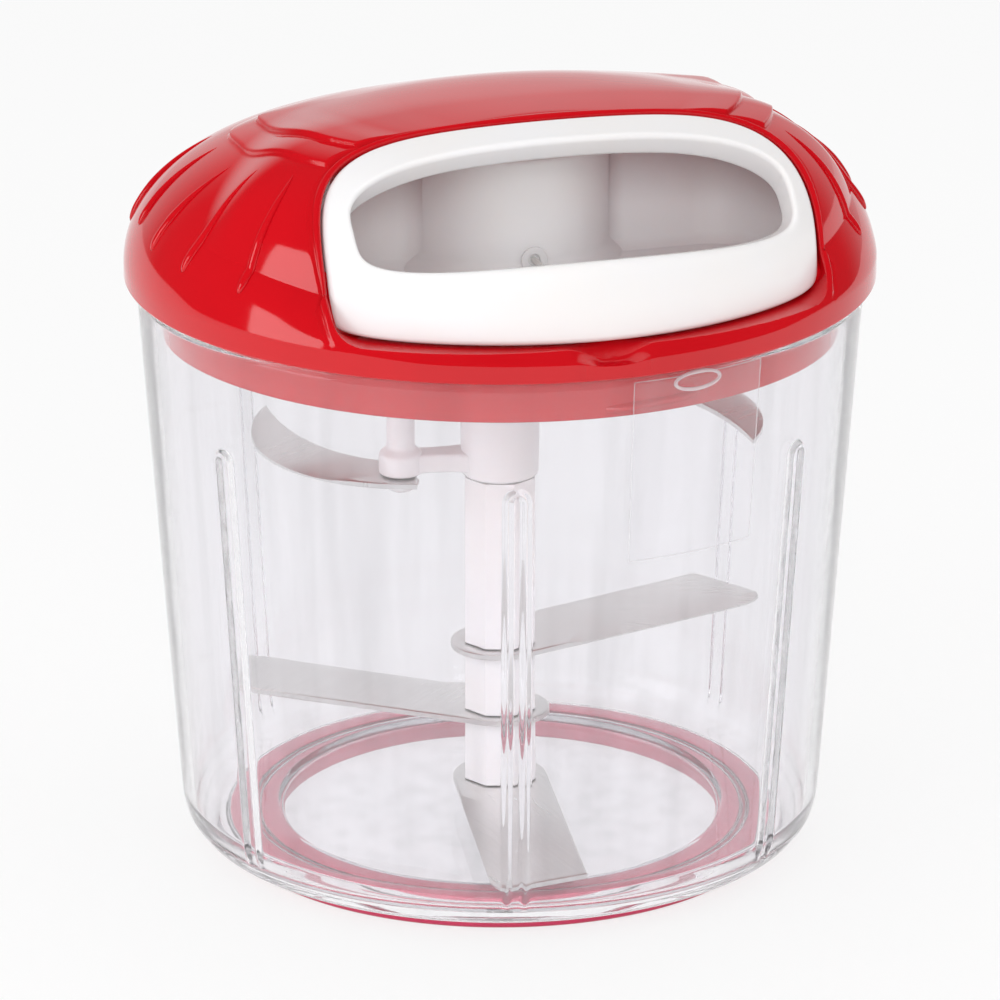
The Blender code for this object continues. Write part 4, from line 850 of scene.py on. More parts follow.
def curved_blade(name, node, post_angle):
    """Scimitar blade, ground along its outer edge."""
    low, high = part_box(node)
    sweep_deg = 46.0
    root = POST_R - 0.0035
    tip = BLADE_REACH + 0.0020

    def middle(share):
        distance = root + (tip - root) * share ** 0.82
        return Vector(heading(post_angle - sweep_deg * share ** 1.1, distance))

    outer, inner = [], []
    steps = 30
    for step in range(steps + 1):
        share = step / steps
        half = 0.00725 * (1.0 - share ** 3.2)
        along = (middle(min(1.0, share + 0.02)) - middle(max(0.0, share - 0.02))).normalized()
        across = Vector((-along.y, along.x))
        edge = smooth(share, 0.15, 0.3) * (1.0 - share)
        outer.append((middle(share) + across * half, float(edge)))
        if step < steps:
            inner.append((middle(share) - across * half, 0.0))
    ends = outer + inner[::-1]
    outline = [tuple(point) for point, _ in ends]
    ground = [min(0.9, share * 1.2) for _, share in ends]
    hole = circle(POST_BORE_R, 24)
    blade = blade_solid(name, outline, low.z, high.z, ground, hole, heading(post_angle, POST_R))
    place(blade, "blades", [node], brushed_steel(name + "_steel", post_angle - 110.0), "blade_steel")


def make_blades():
    """Three straight blades on the column and two curved ones on the posts."""
    for name, node, angle in STRAIGHT_BLADES:
        straight_blade(name, node, angle)
    for side, angle in POSTS:
        curved_blade(side + "_curved_blade", "curved_blade_" + side, angle)


def make_spindle():
    """Column and spacers as they are, with a finer carrier, arms, posts and rivets."""
    finish = white_plastic("spindle_white", tuple(tints().handle), 0.30)
    names = ["spindle_core", "spacer_lower", "spacer_middle", "spacer_upper"]
    finish_node(names, finish)
    soften(names[1:], 0.0005)
    low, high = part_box("blade_carrier")
    disc = high.z - 0.0025
    bore = 0.0045
    hub = [
        (bore, low.z), (0.0084, low.z), (0.0086, low.z + 0.012), (0.0090, disc - 0.004), (0.0115, disc),
        (high.x, disc), (high.x, high.z), (bore, high.z),
    ]
    carrier = lathe("carrier_hub", hub, 0.0009, 96)
    place(carrier, "blades", ["blade_carrier"], finish, "spindle_plastic")
    for side, angle in POSTS:
        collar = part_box("curved_blade_" + side)[1].z + 0.0003
        centre = heading(angle, POST_R)
        post = [
            (POST_BORE_R, collar), (0.0048, collar), (0.0048, collar + 0.0045), (0.0031, collar + 0.0058),
            (0.0030, disc - 0.003), (0.0036, disc + 0.0003), (POST_BORE_R, disc + 0.0003),
        ]
        post = lathe("post_" + side, post, 0.0007, 48, centre)
        place(post, "blades", [], finish, "spindle_plastic")
        arm = arm_solid("arm_" + side, angle, collar + 0.0003, collar + 0.0045)
        place(arm, "blades", [], finish, "spindle_plastic")
        low_end, top_end = (corner.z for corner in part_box("blade_rivet_" + side))
        head = 0.0040
        pin = [
            (0, low_end), (head * 0.55, low_end), (head, low_end + 0.0013), (head, low_end + 0.0022),
            (0.0018, low_end + 0.0022), (0.0018, top_end), (0, top_end),
        ]
        pin = lathe("rivet_" + side, pin, 0.0006, 48, centre, closed=False)
        place(pin, "blades", ["blade_rivet_" + side], finish, "spindle_plastic")


def arm_solid(name, angle_deg, low, high):
    """Arm from the hub to a post, with a waist and rounded edges."""
    rows = []
    waist = ((0.0070, 0.0044), (0.0105, 0.0033), (0.0150, 0.0029), (0.0190, 0.0033), (0.0226, 0.0038))
    for distance, width in waist:
        ring = []
        for across, up in rounded([(-1, -1), (1, -1), (1, 1), (-1, 1)], 0.35, 4):
            x, y = heading(angle_deg, distance, across * width)
            ring.append((x, y, (low + high) / 2 + up * (high - low) / 2))
        rows.append(ring)
    return mesh_from_grid(name, rows)


# Lid


DOME_HEIGHT = 0.03715
HANDLE_HEIGHT = 0.0398
FAN_Y = -0.0180
HANDLE_POWER = 3.2
RUNNING_GAP = 0.0005
WINDOW_HALF = 0.0473
WINDOW_BOTTOM_Z = LEDGE_TOP_Z + 0.0172
FAN_REACH = 0.12
HALVINGS = 40
VAULT_POWER = 1.85
VAULT_SAG_X = -0.52
VAULT_SAG_Y = 0.98
BEAD_HALF_WIDTH = 0.00115
# The two soft steps of the cap: half width and where it lies, then how the line turns in ahead and behind
UPPER_STEP = (0.0511, 0.0040, (0.0096, 0.0331, 2.9), (0.0051, 0.0131))
LOWER_STEP = (0.0576, 0.0030, (0.0101, 0.0365, 2.6), (0.0060, 0.0153))


def vault(x, y):
    """Height of the plain dome above the lid's equator."""
    ring = (x * x + y * y) / DOME_R ** 2
    lean = (VAULT_SAG_Y * y * y + VAULT_SAG_X * x * x) / DOME_R ** 2
    return DOME_HEIGHT * np.maximum(0.0, 1.0 - ring - (1.0 - ring) * lean) ** (1 / VAULT_POWER)


def dome_surface(x, y):
    """Height above the lid's equator, as in the part: a vault, filled out towards the handle."""
    plain = vault(x, y)
    ring = np.minimum(1.0, np.hypot(x, y) / (HANDLE_R - 0.0004))
    extra = (HANDLE_HEIGHT - 0.0004) * (1.0 - ring ** HANDLE_POWER) ** (1 / HANDLE_POWER) - plain
    side = np.minimum((x / 0.060) ** 2, 1.4)
    share = smooth(-y, -0.025 + 0.030 * side, 0.015 + 0.010 * side)
    blend = 0.0030 + 0.0035 * smooth(np.abs(x), 0.035, 0.052)
    span = np.maximum(blend - np.abs(extra), 0.0)
    return plain + share * (np.maximum(extra, 0.0) + span * span / (4.0 * blend))


def terrace(x, y, reach, middle, front, back):
    """Soft step of the cap: full just inside its line, easing off towards the middle of the lid."""
    ahead = front[0] * (np.maximum(middle - y, 0.0) / front[1]) ** front[2]
    behind = back[0] * (np.maximum(y - middle, 0.0) / back[1]) ** 3.2
    inside = reach - ahead - behind - np.abs(x)
    fade = smooth(inside, 0.0, 0.0008) * (1.0 - 0.75 * smooth(inside, 0.0010, 0.0120))
    fade *= 1.0 - smooth(y, 0.010, 0.022)
    return sizes().terrace_lift * fade * (1.0 - smooth(inside, 0.0120, 0.0250))


def lid_relief(x, y):
    """Both soft steps of the cap."""
    return terrace(x, y, *UPPER_STEP) + terrace(x, y, *LOWER_STEP)


def handle_front(x, angle):
    """Distance from the handle's fan axis to its front surface, along fan rays."""
    low = np.zeros(np.broadcast(x, angle).shape)
    high = low + FAN_REACH
    for _ in range(HALVINGS):
        middle = (low + high) / 2
        y = FAN_Y - middle * np.cos(angle)
        rise = np.maximum(0.0, middle * np.sin(angle) + HANDLE_BOTTOM_Z - EQUATOR_Z)
        inside = (np.hypot(x, y) / HANDLE_R) ** HANDLE_POWER + (rise / HANDLE_HEIGHT) ** HANDLE_POWER < 1.0
        low = np.where(inside, middle, low)
        high = np.where(inside, high, middle)
    return low


def fan_point(x, angle, distance, base_z=HANDLE_BOTTOM_Z):
    """Point on a fan ray that leaves the axis x, FAN_Y, base_z at an angle above the level."""
    return np.stack([x, FAN_Y - distance * np.cos(angle), base_z + distance * np.sin(angle)], axis=-1)


def signed_power(value, power):
    """Power of the size of a value, with its sign kept."""
    return np.sign(value) * np.abs(value) ** power


def handle_shape(turn):
    """The handle's outline as x and fan angle."""
    top, shoulder = math.radians(69.5), math.radians(20.0)
    sine, cosine = np.sin(turn), np.cos(turn)
    upper = sine >= 0
    x = HANDLE_HALF * signed_power(cosine, np.where(upper, 2 / 6.0, 2 / 14.0))
    angle = np.where(upper, shoulder + (top - shoulder) * np.abs(sine) ** (2 / 2.4),
                     shoulder * (1.0 - np.abs(sine) ** (2 / 12.0)))
    return x, angle


def window_shape(turn):
    """The outline of the window in the handle as x and fan angle."""
    top, level = math.radians(54.0), math.radians(34.0)
    rise = (WINDOW_BOTTOM_Z - EQUATOR_Z) / HANDLE_HEIGHT
    ring = HANDLE_R * (1.0 - rise ** HANDLE_POWER) ** (1 / HANDLE_POWER)
    bottom = math.atan2(WINDOW_BOTTOM_Z - HANDLE_BOTTOM_Z, FAN_Y + ring)
    sine, cosine = np.sin(turn), np.cos(turn)
    upper = sine >= 0
    x = WINDOW_HALF * signed_power(cosine, np.where(upper, 2 / 4.0, 2 / 5.0))
    angle = np.where(upper, level + (top - level) * np.abs(sine) ** (2 / 2.6),
                     level + (bottom - level) * np.abs(sine) ** (2 / 5.0))
    return x, angle


def even_outline(shape, count):
    """Points evenly along a closed outline of (x, fan angle), from the lowest middle, anticlockwise."""
    x, angle = shape(np.linspace(-math.pi / 2, math.pi * 1.5, 20001))
    length = np.concatenate([[0.0], np.cumsum(np.hypot(np.diff(x), np.diff(angle) * 0.055))])
    wanted = np.arange(count) * length[-1] / count
    return np.interp(wanted, length, x), np.interp(wanted, length, angle)


def dome_meet(x, angle, base_z):
    """Distance along the fan rays at which they leave the dome."""
    low = np.zeros(len(x))
    high = low + FAN_REACH
    for _ in range(HALVINGS):
        middle = (low + high) / 2
        y = FAN_Y - middle * np.cos(angle)
        z = base_z + middle * np.sin(angle)
        inside = (z < EQUATOR_Z + dome_surface(x, y)) & (np.hypot(x, y) < DOME_R - 0.00002)
        low = np.where(inside, middle, low)
        high = np.where(inside, high, middle)
    return low


def opening_outline(count):
    """The handle's outline grown by the running gap, as x, fan angle and base height."""
    x, angle = even_outline(handle_shape, count)
    front = handle_front(x, angle)
    along = np.stack([np.roll(x, -1) - np.roll(x, 1), (np.roll(angle, -1) - np.roll(angle, 1)) * front])
    along /= np.linalg.norm(along, axis=0)
    x = x + along[1] * RUNNING_GAP
    angle = np.maximum(0.0, angle - along[0] * RUNNING_GAP / front)
    base = LEDGE_TOP_Z + (HANDLE_BOTTOM_Z - LEDGE_TOP_Z) * smooth(angle, 0.0, 0.25)
    return x, angle, base


def rim_points(start):
    """Where lines from a point behind the bar through the opening's edge reach the rim circle."""
    pole = np.array([0.0, -0.040])
    way = start[:, :2] - pole
    way /= np.linalg.norm(way, axis=1)[:, None]
    dot = way @ pole
    return pole + way * (-dot + np.sqrt(dot * dot - pole @ pole + DOME_R ** 2))[:, None]


def dome_columns(count):
    """Opening edge and rim point of each column, evenly spread over both."""
    x, angle, base = opening_outline(6000)
    start = fan_point(x, angle, dome_meet(x, angle, base), base)
    rim = rim_points(start)
    step = np.linalg.norm(np.diff(start, axis=0, append=start[:1]), axis=1)
    step += 0.8 * np.linalg.norm(np.diff(rim, axis=0, append=rim[:1]), axis=1)
    length = np.concatenate([[0.0], np.cumsum(step)])
    wanted = np.arange(count) * length[-1] / count
    parts = [np.interp(wanted, length, np.append(row, row[0])) for row in (x, angle, base)]
    start = fan_point(parts[0], parts[1], dome_meet(*parts), parts[2])
    return parts[1], start, rim_points(start)


def dome_section(start, rim, rows):
    """Points down the dome's skin from the opening to the rim, at given distances from the opening."""
    steps = 1.0 - (1.0 - np.linspace(0.0, 1.0, 400)) ** 2.5
    plan = start[:2] + (rim - start[:2]) * steps[:, None]
    height = EQUATOR_Z + dome_surface(plan[:, 0], plan[:, 1])
    height[0] = start[2]
    line = np.column_stack([plan, height])
    length = np.concatenate([[0.0], np.cumsum(np.linalg.norm(np.diff(line, axis=0), axis=1))])
    near = rows["near"] * min(1.0, 0.55 * length[-1] / rows["near"][-1])
    rest = near[-1] + (length[-1] - near[-1]) * rows["rest"]
    wanted = np.concatenate([near, rest])
    return np.stack([np.interp(wanted, length, line[:, axis]) for axis in range(3)], axis=1), wanted


def grid_normals(grid):
    """Unit normals of the dome's points, away from a point inside the lid."""
    across = np.roll(grid, -1, axis=1) - np.roll(grid, 1, axis=1)
    down = np.gradient(grid, axis=0)
    normal = np.cross(across, down)
    normal /= np.maximum(np.linalg.norm(normal, axis=2), 1e-12)[..., None]
    outward = np.sum(normal * (grid - np.array([0.0, 0.0, RIM_Z - 0.03])), axis=2)
    return normal * np.sign(outward)[..., None]


def thumb_dip(x, y):
    """Depth of the thumb scoop in the ledge below the middle of the bar."""
    across = np.clip(x / sizes().scoop_width, -0.5, 0.5)
    dip = sizes().scoop_depth * 0.5 * (1 + np.cos(math.tau * across))
    return np.where(y < 0, dip, 0.0)


def bead_relief(distance, angle):
    """Raised rim round the opening with a shallow groove outside it; none along the ledge."""
    across = (distance - BEAD_HALF_WIDTH) / BEAD_HALF_WIDTH
    crown = sizes().bead_height * np.sqrt(np.maximum(0.0, 1.0 - across ** 2))
    groove = -0.00028 * np.exp(-((distance - 0.0031) / 0.0008) ** 2)
    return (crown + groove) * smooth(angle, 0.03, 0.16)


DOME_COLUMNS = 1100
DOME_ROWS = {
    "near": np.array([0, 0.05, 0.15, 0.3, 0.5, 0.75, 1.0, 1.25, 1.5, 1.75, 2.0, 2.15, 2.25, 2.3, 2.6, 3.0,
                      3.4, 3.8, 4.3]) / 1000.0,
    "rest": np.arange(1, 171) / 170.0,
}


def dome_skin(angle, start, rim):
    """Outer skin from the opening to the rim, with bead, cap steps, thumb scoop and rim crease."""
    outer = np.empty((len(DOME_ROWS["near"]) + len(DOME_ROWS["rest"]), len(start), 3))
    distance = np.empty(outer.shape[:2])
    for column in range(len(start)):
        outer[:, column], distance[:, column] = dome_section(start[column], rim[column], DOME_ROWS)
    x, y, z = outer[..., 0], outer[..., 1], outer[..., 2]
    normal = grid_normals(outer)
    relief = bead_relief(distance, angle[None]) + lid_relief(x, y) * smooth(distance, 0.0023, 0.0060)
    relief *= smooth(z, EQUATOR_Z + 0.0005, EQUATOR_Z + 0.0040)
    outer = outer + normal * relief[..., None]
    scoop = smooth(outer[..., 2], EQUATOR_Z - 0.0005, LEDGE_TOP_Z) * (angle[None] < 0.02)
    outer[..., 2] -= thumb_dip(x, y) * scoop
    crease = np.exp(-((outer[..., 2] - EQUATOR_Z - 0.0002) / 0.0004) ** 2) * smooth(-y, 0.030, 0.045)
    outer -= normal * (0.00022 * crease)[..., None]
    return outer


def dome_edge(rim):
    """Rows that run round the rim, under it and up to the inner corner of the ledge."""
    facing = rim / np.linalg.norm(rim, axis=1)[:, None]
    lip_in = DOME_R - 0.0017
    under = rounded([
        (DOME_R, EQUATOR_Z), (DOME_R, DOME_RIM_Z), (lip_in, DOME_RIM_Z), (lip_in, RIM_Z + 0.0030),
        (LEDGE_INNER_R, RIM_Z + 0.0030), (LEDGE_INNER_R, LEDGE_TOP_Z),
    ], 0.0006, 4, closed=False)[1:]
    below = np.empty((len(under), len(rim), 3))
    for row, (radius, height) in enumerate(under):
        below[row, :, :2] = facing * radius
        below[row, :, 2] = height
    return below


def make_dome():
    """Hollow cover with the opening for the handle; its inner ledge carries the handle at rest."""
    angle, start, rim = dome_columns(DOME_COLUMNS)
    outer = dome_skin(angle, start, rim)
    below = dome_edge(rim)
    corner = below[-1]
    edge = outer[0]
    inwards = np.stack([0.0 * angle, np.cos(angle), -np.sin(angle)], axis=1)
    lip = start + inwards * 0.0028
    on_ledge = 1.0 - smooth(angle, 0.01, 0.12)
    lip = lip + (corner - lip) * on_ledge[:, None]
    inner = np.empty((26, len(start), 3))
    for row, share in enumerate(np.linspace(0.0, 1.0, 28)[1:-1]):
        point = corner + (lip - corner) * share
        hanging = EQUATOR_Z + dome_surface(point[:, 0], point[:, 1]) - 0.0024
        weight = math.sin(math.pi * share) ** 0.5 * (1.0 - on_ledge)
        point[:, 2] += (np.maximum(hanging, LEDGE_TOP_Z) - point[:, 2]) * weight
        inner[row] = point
    shelf = np.array([edge + (lip - edge) * share for share in (0.85, 0.6, 0.4, 0.2, 0.08)])
    grid = np.concatenate([outer, below, inner, lip[None], shelf])
    dome = mesh_from_grid("lid_dome", grid, close_rows=True)
    dome.data.set_sharp_from_angle(angle=math.radians(55))
    place(dome, "lid", ["dome_cover"], glossy_red("lid_gloss", tuple(tints().lid)), "lid_red")


# Plan points of the five ridges of the right flank: start, bend and end
RIDGES = (
    ((0.0570, 0.0235), (0.0660, 0.0255), (0.0745, 0.0270)),
    ((0.0600, 0.0085), (0.0690, 0.0100), (0.0770, 0.0105)),
    ((0.0610, -0.0055), (0.0700, -0.0062), (0.0782, -0.0040)),
    ((0.0590, -0.0196), (0.0670, -0.0205), (0.0758, -0.0197)),
    ((0.0538, -0.0292), (0.0592, -0.0352), (0.0686, -0.0371)),
)


def dome_normal(x, y):
    """Unit normal of the plain dome."""
    step = 0.0001
    lean_x = (dome_surface(x + step, y) - dome_surface(x - step, y)) / (2 * step)
    lean_y = (dome_surface(x, y + step) - dome_surface(x, y - step)) / (2 * step)
    normal = np.stack([-lean_x, -lean_y, np.ones(lean_x.shape)], axis=-1)
    return normal / np.linalg.norm(normal, axis=-1)[..., None]


def ridge_grid(start, bend, end):
    """Long drop along a gentle bend: it grows out of the skin and ends round near the rim."""
    share = np.linspace(0.0, 1.0, 70)[:, None]
    first, middle, last = (np.array(point) for point in (start, bend, end))
    line = (1 - share) ** 2 * first + 2 * share * (1 - share) * middle + share ** 2 * last
    along = np.gradient(line, axis=0)
    along /= np.linalg.norm(along, axis=1)[:, None]
    length = math.dist(start, end)
    tail = np.clip((1.0 - share) * length / 0.0016, 0.0, 1.0)
    size = np.clip(share / 0.72, 0.0, 1.0) ** 0.75 * np.sqrt(1.0 - (1.0 - tail) ** 2)
    turn = np.linspace(0.0, math.tau, 20, endpoint=False)
    across = np.cos(turn) * size * 0.00105
    x = line[:, :1] - along[:, 1:] * across
    y = line[:, 1:] + along[:, :1] * across
    up = np.where(np.sin(turn) > 0, sizes().ridge_height, 0.0004) * np.sin(turn) * size
    skin = np.stack([x, y, EQUATOR_Z + dome_surface(x, y)], axis=-1)
    return skin + dome_normal(x, y) * up[..., None]


def make_ridges():
    """Five finger ridges on each flank of the dome."""
    finish = glossy_red("ridge_gloss", tuple(tints().lid))
    for side, label in ((1.0, "right"), (-1.0, "left")):
        for number, line in enumerate(RIDGES):
            grid = ridge_grid(*line)
            grid[..., 0] *= side
            ridge = mesh_from_grid("grip_ridge_%s_%d" % (label, number + 1), grid)
            place(ridge, "lid", [], finish, "lid_red")


SKIRT_OUTER_R = BOWL_RIM_R - 0.0044
DECK_Z = RIM_Z - 0.0048
SHELF_Z = RIM_Z + 0.0027
LUG_ANGLES = (7.5, 127.5, 247.5)
SCREWS = ("screw_front_right", "screw_front_left", "screw_side_right", "screw_side_left")


def make_lug(number, angle_deg, skirt_foot, finish):
    """Bayonet lug: a short ramp round the skirt."""
    rows = []
    for share in np.linspace(0.0, 1.0, 25):
        turn = math.radians(angle_deg + (share - 0.5) * 16.0)
        taper = min(1.0, 6 * min(share, 1 - share) + 0.15)
        bottom = skirt_foot + 0.0008 + 0.0008 * share
        corners = [(-0.0006, 0.0), (0.0011 * taper, 0.0004), (0.0011 * taper, 0.0014), (-0.0006, 0.0022)]
        ring = []
        for out, up in rounded(corners, 0.0004, 4):
            reach = SKIRT_OUTER_R + out
            ring.append((math.sin(turn) * reach, -math.cos(turn) * reach, bottom + up))
        rows.append(ring)
    lug = mesh_from_grid("bayonet_lug_%d" % number, rows)
    place(lug, "lid", [], finish, "lid_red")


def make_screw(name, boss_finish, finish):
    """Screw and the boss that it holds in."""
    low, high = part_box(name)
    centre = ((low.x + high.x) / 2, (low.y + high.y) / 2)
    boss = [(0.0016, DECK_Z + 0.0005), (0.0036, DECK_Z + 0.0005), (0.0036, SHELF_Z), (0.0016, SHELF_Z)]
    boss = lathe(name.replace("screw", "boss"), boss, 0.0003, 40, centre)
    place(boss, "lid", [], boss_finish, "lid_red")
    head = high.x - centre[0]
    under = low.z
    screw = [
        (0, under + 0.0007), (0.0008, under + 0.0007), (0.0011, under), (head * 0.72, under),
        (head, under + 0.0009), (head, under + 0.0016), (0.0012, under + 0.0016), (0.0012, high.z),
        (0, high.z),
    ]
    screw = lathe(name + "_fine", screw, 0.0003, 40, centre, closed=False)
    place(screw, "lid", [name], finish, "screw_steel")


def make_lid_base():
    """Skirt and deck below the dome, with lugs, bosses and screws."""
    red = glossy_red("skirt_gloss", tuple(tints().lid))
    low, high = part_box("lid_base")
    skirt_in = SKIRT_OUTER_R - 0.0020
    profile = [
        (0.0084, DECK_Z), (skirt_in, DECK_Z), (skirt_in, low.z), (SKIRT_OUTER_R, low.z),
        (SKIRT_OUTER_R, RIM_Z + 0.0003), (high.x, RIM_Z + 0.0003), (high.x, SHELF_Z), (skirt_in, SHELF_Z),
        (skirt_in, DECK_Z + 0.0018), (0.0106, DECK_Z + 0.0018), (0.0106, RIM_Z + 0.0023),
        (0.0084, RIM_Z + 0.0023),
    ]
    base = lathe("lid_base_fine", profile, 0.0005, 288)
    place(base, "lid", ["lid_base"], red, "lid_red")
    for number, angle in enumerate(LUG_ANGLES):
        make_lug(number + 1, angle, low.z, red)
    steel = turned_steel("screw_steel_finish")
    for name in SCREWS:
        make_screw(name, red, steel)


# Pull handle


FRONT_OUTER_BEND = 0.0016
FRONT_INNER_BEND = 0.0018
BACK_BEND = 0.0011


def handle_section(width, depth):
    """Rounded section as (distance from the outer outline, depth), one row per point."""
    # Each corner: far from the outline, at the back, bend radius, first and last angle in degrees
    corners = (
        (0.0, 0.0, FRONT_OUTER_BEND, 0.0, 90.0),
        (1.0, 0.0, FRONT_INNER_BEND, 90.0, 180.0),
        (1.0, 1.0, BACK_BEND, 180.0, 270.0),
        (0.0, 1.0, BACK_BEND, 270.0, 360.0),
    )
    across, down = [], []
    for far, back, radius, start, end in corners:
        turns = np.radians(np.linspace(start, end, 9))
        centre_u = far * width + (radius if far == 0.0 else -radius)
        centre_v = back * depth + (radius if back == 0.0 else -radius)
        for turn in turns:
            across.append(centre_u - math.cos(turn) * radius)
            down.append(centre_v - math.sin(turn) * radius)
        if start == 0.0:
            flat = np.linspace(radius, width - FRONT_INNER_BEND, 14)[1:-1]
            across.extend(flat)
            down.extend(np.zeros_like(flat))
    return np.array(across), np.array(down)


def make_handle():
    """Handle between its outline and its window, with a fine crease along the middle of the bar."""
    outer_x, outer_a = even_outline(handle_shape, 360)
    inner_x, inner_a = even_outline(window_shape, 360)
    outer_p = fan_point(outer_x, outer_a, handle_front(outer_x, outer_a))
    inner_p = fan_point(inner_x, inner_a, handle_front(inner_x, inner_a))
    width = np.linalg.norm(outer_p - inner_p, axis=1)
    bar = width.max()
    middle = (outer_a + inner_a) / 2
    depth = 0.0090 - 0.0035 * smooth(middle, math.radians(35), math.radians(75))
    across, down = handle_section(width, depth)
    share = across / width
    x = outer_x + (inner_x - outer_x) * share
    angle = outer_a + (inner_a - outer_a) * share
    front = handle_front(x, angle)
    crease = 0.00018 * np.exp(-((across - bar * 0.44) / 0.0011) ** 2) * smooth(width, bar * 0.85, bar)
    grid = fan_point(x, angle, front - down - crease * (down < 0.0001))
    handle = mesh_from_grid("pull_handle_fine", grid, close_rows=True)
    finish = white_plastic("handle_white", tuple(tints().handle))
    place(handle, "handle", ["pull_handle"], finish, "handle_white")
    finish_node(["cord_anchor"], grey_plastic("anchor_grey"))
    soften(["cord_anchor"], 0.0003)


# Housing and cord drive


HOUSING_R = 0.0235
HOUSING_TOP_Z = RIM_Z + 0.0319
HOUSING_WALL = 0.0015
POCKET_FLOOR_Z = RIM_Z + 0.0053
POCKET_FOOT_Z = RIM_Z + 0.0030
POCKET_BACK_Y = -0.0065
POCKET_INNER_R = 0.0205
EYELET_BORE_R = 0.0012


def make_housing():
    """Drum housing and the hand pocket round it: floor and two flank walls, in a white painted brighter than the
    handle's to lift the shade in the pocket.
    """
    # Painted light: the housing's white is the handle's white raised by 8 % (up to 0.93), so the shaded hand
    # pocket reads as lit.
    pocket_shade_lift_white = tuple(min(0.93, value * 1.08) for value in tints().handle)
    finish = white_plastic("housing_white", pocket_shade_lift_white, 0.30)
    radius, top, foot = HOUSING_R, HOUSING_TOP_Z, POCKET_FOOT_Z
    ceiling = top - HOUSING_WALL
    body = [
        (radius - HOUSING_WALL, foot), (radius + 0.0030, foot), (radius + 0.0030, POCKET_FLOOR_Z),
        (radius, POCKET_FLOOR_Z + 0.0030), (radius, top), (0, top), (0, ceiling), (0.0033, ceiling),
        (0.0033, top - 0.0060), (0.0060, top - 0.0060), (0.0060, ceiling), (radius - HOUSING_WALL, ceiling),
    ]
    body = lathe("housing_drum", body, 0.0017, 192)
    place(body, "lid", ["mechanism_housing"], finish, "housing_white")
    reach = LEDGE_INNER_R - 0.0003
    start = math.asin(-POCKET_BACK_Y / reach)
    turns = np.linspace(math.pi + start, math.tau - start, 121)
    rim = (
        (foot, 0.0), (POCKET_FLOOR_Z - 0.0005, 0.0), (POCKET_FLOOR_Z - 0.0001, 0.0002), (POCKET_FLOOR_Z, 0.0006),
    )
    rows = [pocket_row(reach - inset, POCKET_BACK_Y - inset * 0.3, turns, height) for height, inset in rim]
    for share in np.linspace(0.0, 1.0, 24)[1:]:
        across = (reach - 0.0006) * (1 - share) + POCKET_INNER_R * share
        rows.append(pocket_row(across, POCKET_BACK_Y, turns, POCKET_FLOOR_Z))
    rows.append(pocket_row(POCKET_INNER_R, POCKET_BACK_Y, turns, foot))
    floor = mesh_from_grid("pocket_floor", rows, close_rows=True, close_columns=False)
    place(floor, "lid", ["mechanism_housing"], finish, "housing_white")
    for side, label in ((1, "right"), (-1, "left")):
        wall = flank_wall("pocket_wall_" + label, side)
        place(wall, "lid", ["mechanism_housing"], finish, "housing_white")
    make_eyelet()


def make_eyelet():
    """Flanged eyelet that the cord leaves the housing through."""
    low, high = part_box("cord_eyelet")
    mid_z = (low.z + high.z) / 2
    ring = np.array(rounded([
        (EYELET_BORE_R, low.y), (0.0029, low.y), (0.0029, low.y + 0.0006), (0.0024, low.y + 0.0007),
        (0.0024, high.y), (EYELET_BORE_R, high.y),
    ], 0.0005))
    turn = np.linspace(0.0, math.tau, 64, endpoint=False)
    grid = np.empty((len(ring), len(turn), 3))
    grid[..., 0] = ring[:, :1] * np.cos(turn)
    grid[..., 1] = ring[:, 1:]
    grid[..., 2] = mid_z + ring[:, :1] * np.sin(turn)
    eyelet = mesh_from_grid("eyelet_fine", grid, close_rows=True)
    finish = white_plastic("eyelet_enamel", tuple(tints().handle), 0.25)
    place(eyelet, "lid", ["cord_eyelet"], finish, "eyelet_steel")


def pocket_row(radius, back_y, turns, height):
    """One arc of the pocket floor, from wall to wall."""
    x, y = radius * np.cos(turns), radius * np.sin(turns)
    return np.stack([x, np.minimum(y, back_y), 0.0 * x + height], axis=-1)


def flank_wall(name, side):
    """Rear wall of the hand pocket with a coved foot, up to just below the cover."""
    centre_x, centre_y, radius = 0.0400, -0.0240, 0.0160
    drum_x, fillet_y, fillet = 0.02536, -0.0130, 0.0050
    line = [(drum_x + fillet * math.cos(turn), fillet_y + fillet * math.sin(turn))
            for turn in np.radians(np.linspace(158.0, 90.0, 16))[:-1]]
    line += [(x, centre_y + radius) for x in np.linspace(drum_x, centre_x, 12)[:-1]]
    line += [(centre_x + radius * math.cos(turn), centre_y + radius * math.sin(turn))
             for turn in np.radians(np.linspace(90.0, 5.0, 40))]
    line = np.array(line)
    along = np.gradient(line, axis=0)
    along /= np.linalg.norm(along, axis=1)[:, None]
    back = np.stack([-along[:, 1], along[:, 0]], axis=1)
    behind = line + back * HOUSING_WALL
    foot = POCKET_FLOOR_Z - 0.0004
    flat = np.zeros(len(line))
    rows = []
    for height in np.linspace(0.0, 1.0, 5)[:-1] ** 1.5:
        cove = (1.0 - height) ** 2 * 0.0025
        rows.append(np.column_stack([line - back * cove, flat + foot + 0.0029 * height]))
    rows.append(np.column_stack([line, flat + POCKET_FLOOR_Z + 0.0025]))
    for edge in (line, behind):
        rows.append(np.column_stack([edge, EQUATOR_Z + dome_surface(edge[:, 0], edge[:, 1]) - 0.0034]))
    rows.append(np.column_stack([behind, flat + foot]))
    grid = np.array(rows)
    grid[..., 0] *= side
    return mesh_from_grid(name, grid, close_rows=True, close_columns=False)


